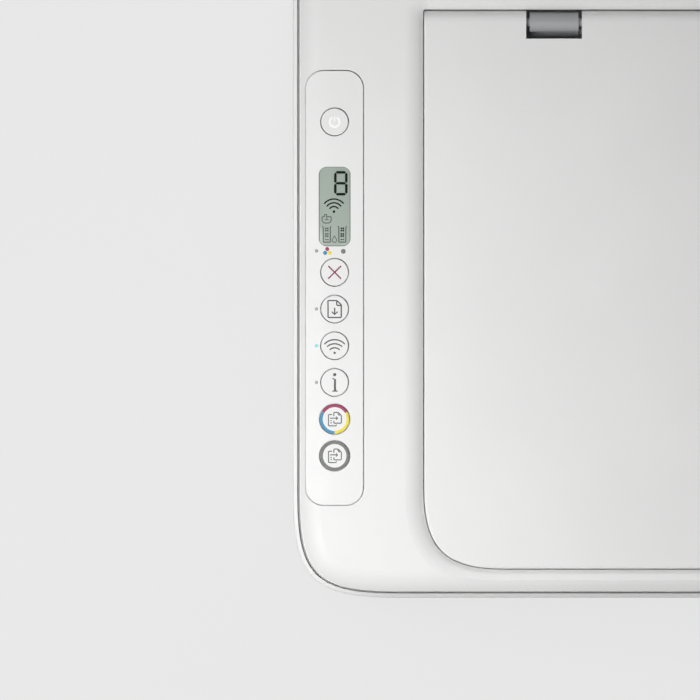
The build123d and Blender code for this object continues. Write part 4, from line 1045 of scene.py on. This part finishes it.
class PRINTER_OT_scanner_fittings(bpy.types.Operator):
    """Adds the lens row, the lamp bar, the calibration strip and the corner mark of the scanner"""

    bl_idname = "printer.scanner_fittings"
    bl_label = "Scanner fittings"

    def execute(self, context):
        self.lenses()
        self.window_border()
        self.corner_mark()
        return {"FINISHED"}

    def lenses(self):
        """A row of rod lenses and a lamp bar, sunk in the slot of the scan head."""
        head = middle("scan_head")
        slot_depth, length = 1.95 * MM, 190 * MM
        floor = top_of("scan_head") - slot_depth
        start = head.y - length / 2
        count, pitch = 94, 2.02 * MM
        lens = disc((head.x + 0.9 * MM, start, floor), 0.8 * MM, 0.7 * MM, edge=0.12 * MM, sides=12)
        row = arrayed(lens, count, (0, pitch, 0))
        clear = Finish("lens_glass", (0.05, 0.09, 0.12), 0.08, Coat_Weight=1.0)
        clear.tint(2 * MM, 0.6)
        fit(row, "lens_row", "scan_head", clear.material)
        bar = eased_block(
            (head.x - 2 * MM, start, floor), (head.x - 0.7 * MM, start + length, floor + 1.1 * MM), 0.2 * MM
        )
        tube = Finish("lamp_bar", (0.9, 0.92, 0.9), 0.2, Coat_Weight=0.5)
        tube.bump(tube.stripes("Y", 4 * MM), 0.1 * MM)
        tube.tint(12 * MM, 0.9)
        fit(bar, "lamp_bar", "scan_head", tube.material)

    def window_border(self):
        """The printed border under the glass, with the white calibration strip at its left end."""
        low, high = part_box("scanner_glass")
        under, upper = low.z - 0.12 * MM, low.z - 0.02 * MM
        wide, soft = 3.5 * MM, 0.02 * MM
        bars = [
            eased_block((low.x, low.y, under), (high.x, low.y + wide, upper), soft),
            eased_block((low.x, high.y - wide, under), (high.x, high.y, upper), soft),
            eased_block((high.x - wide, low.y + wide, under), (high.x, high.y - wide, upper), soft),
        ]
        fit(
            joined(bars), "glass_border", "printer_body",
            printed("border_black", (0.012, 0.012, 0.012))
        )
        strip = eased_block((low.x, low.y + wide, under), (low.x + 8 * MM, high.y - wide, upper), soft)
        fit(
            strip, "calibration_strip", "printer_body",
            printed("strip_white", (0.88, 0.88, 0.87))
        )

    def corner_mark(self):
        """The arrow that shows where a page's corner goes, beside the glass."""
        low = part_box("scanner_glass")[0]
        tip = Vector((low.x - 3 * MM, low.y - 0.5 * MM, WELL_LEVEL))
        shape = [(0, 0), (-3.6, 0.8), (-2.5, 1.3), (-5.5, 4.3), (-4.3, 5.5), (-1.3, 2.5), (-0.8, 3.6)]
        arrow = plate([tip + Vector((x * MM, y * MM, 0)) for x, y in shape], Vector((0, 0, 0.06 * MM)))
        fit(
            arrow, "page_corner_mark", "printer_body",
            printed("corner_grey", (0.12, 0.12, 0.12))
        )


# ---------------------------------------------------------------- engine fittings


class PRINTER_OT_engine_fittings(bpy.types.Operator):
    """Adds the encoder strip, star wheels, belt teeth, motor ends and cartridge details"""

    bl_idname = "printer.engine_fittings"
    bl_label = "Engine fittings"

    def execute(self, context):
        self.encoder_strip()
        self.star_wheels()
        self.belt_teeth()
        self.motor_ends()
        self.cartridge_details()
        return {"FINISHED"}

    def encoder_strip(self):
        """The clear film with fine lines that the carriage reads its place from, on two hooks."""
        behind = 1.15 * MM
        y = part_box("carriage")[1].y + behind
        low_z, high_z = 86.5 * MM, 91.5 * MM
        reach = 183 * MM
        film = Finish("encoder_film", (0.3, 0.3, 0.32), 0.12, Coat_Weight=0.6)
        film.swap(film.ramp(film.stripes("X", 0.34 * MM), 0, 1, 0.45, 0.55), (0.03, 0.03, 0.03))
        strip = eased_block((-reach, y - 0.1 * MM, low_z), (reach, y + 0.1 * MM, high_z), 0.03 * MM)
        fit(strip, "encoder_strip", "printer_body", film.material)
        ends = []
        for side in (-1, 1):
            near, far = sorted((side * (reach - 4 * MM), side * (reach + 3 * MM)))
            ends.append(
                eased_block((near, y - 0.7 * MM, low_z - MM), (far, y + 0.7 * MM, high_z + MM), 0.25 * MM)
            )
        fit(joined(ends), "encoder_hooks", "printer_body", steel("hook_steel").material)

    def star_wheels(self):
        """A rail of thin toothed wheels that hold the page down on the output roller."""
        axis = middle("output_roller")
        level = axis.z + 11.4 * MM
        teeth, tooth_depth = 14, 0.16
        wheels = []
        for x in WHEELS_X:
            wheel = disc(
                (x * MM - 0.25 * MM, axis.y, level), 4.4 * MM, 0.5 * MM, axis="X", edge=0.08 * MM, sides=28
            )
            pick(wheel, "VERT", lambda v: math.hypot(v.co.y - axis.y, v.co.z - level) > 4.2 * MM)
            rim = [v for v in bmesh.from_edit_mesh(wheel.data).verts if v.select]
            for vertex in rim:
                turn = math.atan2(vertex.co.z - level, vertex.co.y - axis.y)
                if round(turn * teeth / math.pi) % 2:
                    vertex.co.y += (axis.y - vertex.co.y) * tooth_depth
                    vertex.co.z += (level - vertex.co.z) * tooth_depth
            bmesh.update_edit_mesh(wheel.data)
            hub = disc(
                (x * MM - 2 * MM, axis.y, level), 1.6 * MM, 4 * MM, axis="X", edge=0.25 * MM, sides=20
            )
            wheels += [wheel, hub]
        fit(
            joined(wheels), "star_wheels", "printer_body",
            steel("star_steel", roughness=0.25).material
        )
        half = 110 * MM
        rail_low, rail_high = level + 4.9 * MM, level + 8 * MM
        rail = [
            eased_block((-half, axis.y - 4 * MM, rail_low), (half, axis.y + 4 * MM, rail_high), 0.5 * MM)
        ]
        for x in WHEELS_X:
            for side in (-1, 1):
                near, far = sorted((x * MM + side * 2.2 * MM, x * MM + side * 3.4 * MM))
                rail.append(
                    eased_block(
                        (near, axis.y - 2 * MM, level - 1.6 * MM), (far, axis.y + 2 * MM, rail_low),
                        0.2 * MM
                    )
                )
        for side in (-1, 1):
            near, far = sorted((side * (half - 4 * MM), side * half))
            rail.append(
                eased_block((near, axis.y + 3 * MM, rail_low), (far, axis.y + 13 * MM, rail_high), 0.4 * MM)
            )
            foot = top_of("platen") - 3 * MM
            rail.append(
                eased_block(
                    (near, axis.y + 9.4 * MM, foot), (far, axis.y + 13 * MM, rail_high - 0.5 * MM), 0.4 * MM
                )
            )
        fit(joined(rail), "star_wheel_rail", "printer_body",
            moulded("rail_black", (0.02, 0.02, 0.022), 0.45))

    def belt_teeth(self):
        """The teeth on the inside of the drive belt's two runs."""
        low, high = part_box("drive_belt")
        thick = 0.5 * MM
        pitch = 2.0 * MM
        runs = []
        reach = high.x - 9 * MM
        for level in (low.z + 1 * MM, high.z - 1 * MM - thick):
            tooth = eased_block(
                (-reach, low.y + 0.3 * MM, level), (-reach + MM, high.y - 0.3 * MM, level + thick),
                0.12 * MM
            )
            runs.append(arrayed(tooth, round(2 * reach / pitch), (pitch, 0, 0)))
        fit(joined(runs), "belt_teeth", "printer_body", rubbery("belt_rubber").material)

    def motor_ends(self):
        """A stepped end cap with a bearing and two solder tabs on each motor."""
        cap = moulded("motor_cap_black", (0.025, 0.025, 0.027), 0.4)
        brass = steel("tab_brass", (0.72, 0.55, 0.25), 0.3)
        for node, axis in (("carriage_motor", "Y"), ("feed_motor", "X")):
            along, index = AXES[axis], "XYZ".index(axis)
            face = middle(node)
            face[index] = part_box(node)[1][index]
            start = face - along * 0.6 * MM
            ring = collar(start, 10.5 * MM, 7.5 * MM, 1.1 * MM, axis, 0.12 * MM)
            boss = disc(start, 3.2 * MM, 1.6 * MM, axis, 0.3 * MM, 32)
            fit(joined([ring, boss]), f"{node}_cap", "printer_body", cap)
            tabs = []
            for side in (-1, 1):
                at = start + Vector((0, 0, side * 5.4 * MM))
                size = Vector((1.1, 1.1, 0.25)) * MM
                tabs.append(
                    eased_block(at - size + along * 0.2 * MM, at + size + along * 1.6 * MM, 0.08 * MM)
                )
            fit(joined(tabs), f"{node}_tabs", "printer_body", brass.material)

    def cartridge_details(self):
        """Grip ribs, a cap and ink patches on each cartridge, and a latch over its bay."""
        black = (0.008, 0.008, 0.008)
        for node, inks in (("color_cartridge", (CYAN, MAGENTA, YELLOW)), ("black_cartridge", (black,))):
            low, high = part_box(node)
            centre = (low + high) / 2
            rib_z = low.z + 10 * MM
            rib = eased_block(
                (centre.x - 10 * MM, low.y - 0.35 * MM, rib_z),
                (centre.x + 10 * MM, low.y + 0.3 * MM, rib_z + 1.2 * MM),
                0.25 * MM,
            )
            ribs = arrayed(rib, 5, (0, 0, 3 * MM))
            fit(
                ribs, f"{node}_grip", "carriage",
                moulded(f"{node}_grip_black", (0.03, 0.03, 0.032))
            )
            cap = rounded_block(
                (low.x + 3 * MM, low.y + 8 * MM, high.z - 0.1 * MM),
                (high.x - 3 * MM, high.y - 6 * MM, high.z + 0.5 * MM),
                2.5 * MM, 0.2 * MM,
            )
            fit(
                cap, f"{node}_cap", "carriage",
                moulded(f"{node}_cap_grey", (0.5, 0.5, 0.51), 0.3)
            )
            for index, ink in enumerate(inks):
                x = centre.x + (index - (len(inks) - 1) / 2) * 7.5 * MM
                spot = disc((x, low.y + 16 * MM, high.z + 0.4 * MM), 2.4 * MM, 0.2 * MM, edge=0.05 * MM)
                fit(
                    spot, f"{node}_ink_patch_{index + 1}", "carriage",
                    printed(f"{node}_ink_{index + 1}", ink)
                )
            latch = rounded_block(
                (centre.x - 6 * MM, high.y - 3 * MM, high.z + 0.6 * MM),
                (centre.x + 6 * MM, high.y + 3 * MM, high.z + 2.6 * MM),
                1.2 * MM, 0.4 * MM,
            )
            fit(
                latch, f"{node}_latch", "carriage",
                moulded(f"{node}_latch_blue", (0.05, 0.16, 0.3), 0.35)
            )


# ---------------------------------------------------------------- circuit boards


class PRINTER_OT_board_parts(bpy.types.Operator):
    """Fits chips, capacitors and plug headers on the main board"""

    bl_idname = "printer.board_parts"
    bl_label = "Board parts"

    def execute(self, context):
        low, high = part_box("main_board")
        low = Vector((low.x, low.y, high.z))
        black = moulded("chip_epoxy", (0.018, 0.018, 0.02), 0.42, 0.01 * MM)
        tin = steel("pin_tin", (0.62, 0.62, 0.62), 0.28)
        chips, pins = [], []
        for x, y, size in ((20, 22, 16), (44, 30, 9), (22, 50, 10), (46, 56, 7)):
            centre = low + Vector((x, y, 0)) * MM
            half = size / 2 * MM
            chips.append(
                rounded_block(
                    centre - Vector((half, half, 0)), centre + Vector((half, half, 1.6 * MM)), 0.4 * MM,
                    0.15 * MM
                )
            )
            for way in (-1, 1):
                start = centre + Vector((-half + 0.8 * MM, way * (half + 0.45 * MM) - 0.5 * MM, 0.05 * MM))
                pin = eased_block(start, start + Vector((0.4, 1.0, 0.5)) * MM, 0.06 * MM)
                pins.append(arrayed(pin, max(2, round((size - 1.6) / 1.0)), (MM, 0, 0)))
        fit(joined(chips), "board_chips", "printer_body", black)
        fit(joined(pins), "chip_pins", "printer_body", tin.material)
        self.capacitors(low)
        self.connectors(low)
        return {"FINISHED"}

    def capacitors(self, low):
        """Round cans, each with a ring at its foot."""
        cans = []
        for x, y, radius, tall in ((8, 68, 4, 9), (19, 68, 4, 9), (56, 12, 3, 7), (8, 40, 2.5, 6)):
            foot = low + Vector((x, y, 0)) * MM
            cans.append(disc(foot, radius * MM, tall * MM, edge=0.4 * MM, sides=32))
            cans.append(collar(foot, (radius + 0.15) * MM, (radius - 0.3) * MM, 1.2 * MM, sides=32))
        sleeve = steel("can_aluminium", (0.7, 0.71, 0.72), 0.3)
        fit(joined(cans), "board_capacitors", "printer_body", sleeve.material)

    def connectors(self, low):
        """White plug headers along the board's front edge."""
        shells = []
        for x, wide in ((12, 14), (34, 10), (52, 8)):
            corner = low + Vector((x - wide / 2, 3, 0)) * MM
            shells.append(eased_block(corner, corner + Vector((wide, 5.5, 1.5)) * MM, 0.2 * MM))
            for y in (0, 4.7):
                wall = corner + Vector((0, y, 1.2)) * MM
                shells.append(eased_block(wall, wall + Vector((wide, 0.8, 4.6)) * MM, 0.15 * MM))
        fit(joined(shells), "board_headers", "printer_body",
            moulded("header_ivory", (0.78, 0.75, 0.66), 0.4, 0.01 * MM))


# ---------------------------------------------------------------- paper marks


class PRINTER_OT_paper_marks(bpy.types.Operator):
    """Prints the page pictogram and the size ticks on the paper support and the output tray"""

    bl_idname = "printer.paper_marks"
    bl_label = "Paper marks"

    def execute(self, context):
        grey = printed("paper_mark_grey", (0.2, 0.2, 0.2))
        self.on_support(grey)
        self.on_tray(grey)
        return {"FINISHED"}

    def on_support(self, grey):
        """A page with lines of print, and three size ticks at each side, on the paper support's face."""
        low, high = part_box("input_tray")
        middle_z = (low.z + high.z) / 2 + 12 * MM
        width, rise = 0.7 * MM, 0.12 * MM

        def at(x, z):
            return Vector((x * MM, SUPPORT_FACE, middle_z + z * MM))

        outline = [at(-7, -9), at(7, -9), at(7, 5), at(3, 9), at(-7, 9)]
        pieces = [thicken(wire(outline, 0.8 * MM, closed=True), width, rise, "Y")]
        pieces.append(thicken(wire([at(3, 9), at(3, 5), at(7, 5)]), width, rise, "Y"))
        for z in (2, -1.5, -5):
            pieces.append(thicken(wire([at(-4, z), at(3.4, z)]), width, rise, "Y"))
        for x in (-52, -74, -105):
            for side in (-1, 1):
                pieces.append(thicken(wire([at(side * x, 12), at(side * x, 20)]), width, rise, "Y"))
        fit(joined(pieces), "paper_size_marks", "input_tray", grey)

    def on_tray(self, grey):
        """A page and an arrow on the output tray's floor."""
        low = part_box("output_tray")[0]
        centre = Vector((78 * MM, low.y + 30 * MM, TRAY_FLOOR))
        width, rise = 0.6 * MM, 0.12 * MM

        def at(x, y):
            return centre + Vector((x * MM, y * MM, 0))

        sheet = [at(-6, -7), at(6, -7), at(6, 7), at(-6, 7)]
        pieces = [thicken(wire(sheet, 0.8 * MM, closed=True), width, rise)]
        pieces.append(thicken(wire([at(0, 4), at(0, -3.4)]), width, rise))
        pieces.append(thicken(wire([at(-2.4, -1.2), at(0, -3.6), at(2.4, -1.2)]), width, rise))
        fit(joined(pieces), "tray_page_mark", "printer_body", grey)


# ---------------------------------------------------------------- panel and registration

STEPS = (
    "stage", "finishes", "key_marks", "display", "pads", "scanner_fittings", "engine_fittings",
    "board_parts",
    "paper_marks",
)


class PRINTER_PT_panel(bpy.types.Panel):
    """Lists the printer's steps"""

    bl_idname = "PRINTER_PT_panel"
    bl_label = "Printer"
    bl_space_type = "VIEW_3D"
    bl_region_type = "UI"
    bl_category = "Printer"

    def draw(self, context):
        for key in GROUPS:
            group = getattr(context.scene, key)
            for name in group.__annotations__:
                self.layout.prop(group, name)
        for step in STEPS:
            self.layout.operator(f"printer.{step}")


GROUPS = {"printer_finishes": PrinterFinishes, "printer_marks": PrinterMarks, "printer_stage": PrinterStage}
OPERATORS = (
    PRINTER_OT_stage, PRINTER_OT_finishes, PRINTER_OT_key_marks, PRINTER_OT_display, PRINTER_OT_pads,
    PRINTER_OT_scanner_fittings, PRINTER_OT_engine_fittings, PRINTER_OT_board_parts, PRINTER_OT_paper_marks,
)


def register():
    """Registers the groups, the operators and the panel."""
    for item in (*GROUPS.values(), *OPERATORS, PRINTER_PT_panel):
        bpy.utils.register_class(item)
    for name, group in GROUPS.items():
        setattr(bpy.types.Scene, name, bpy.props.PointerProperty(type=group))


def unregister():
    """Takes them away again."""
    for name in GROUPS:
        delattr(bpy.types.Scene, name)
    for item in reversed((*GROUPS.values(), *OPERATORS, PRINTER_PT_panel)):
        bpy.utils.unregister_class(item)


def main():
    """Makes the whole printer."""
    register()
    for step in STEPS:
        getattr(bpy.ops.printer, step)()


if __name__ == "__main__":
    main()
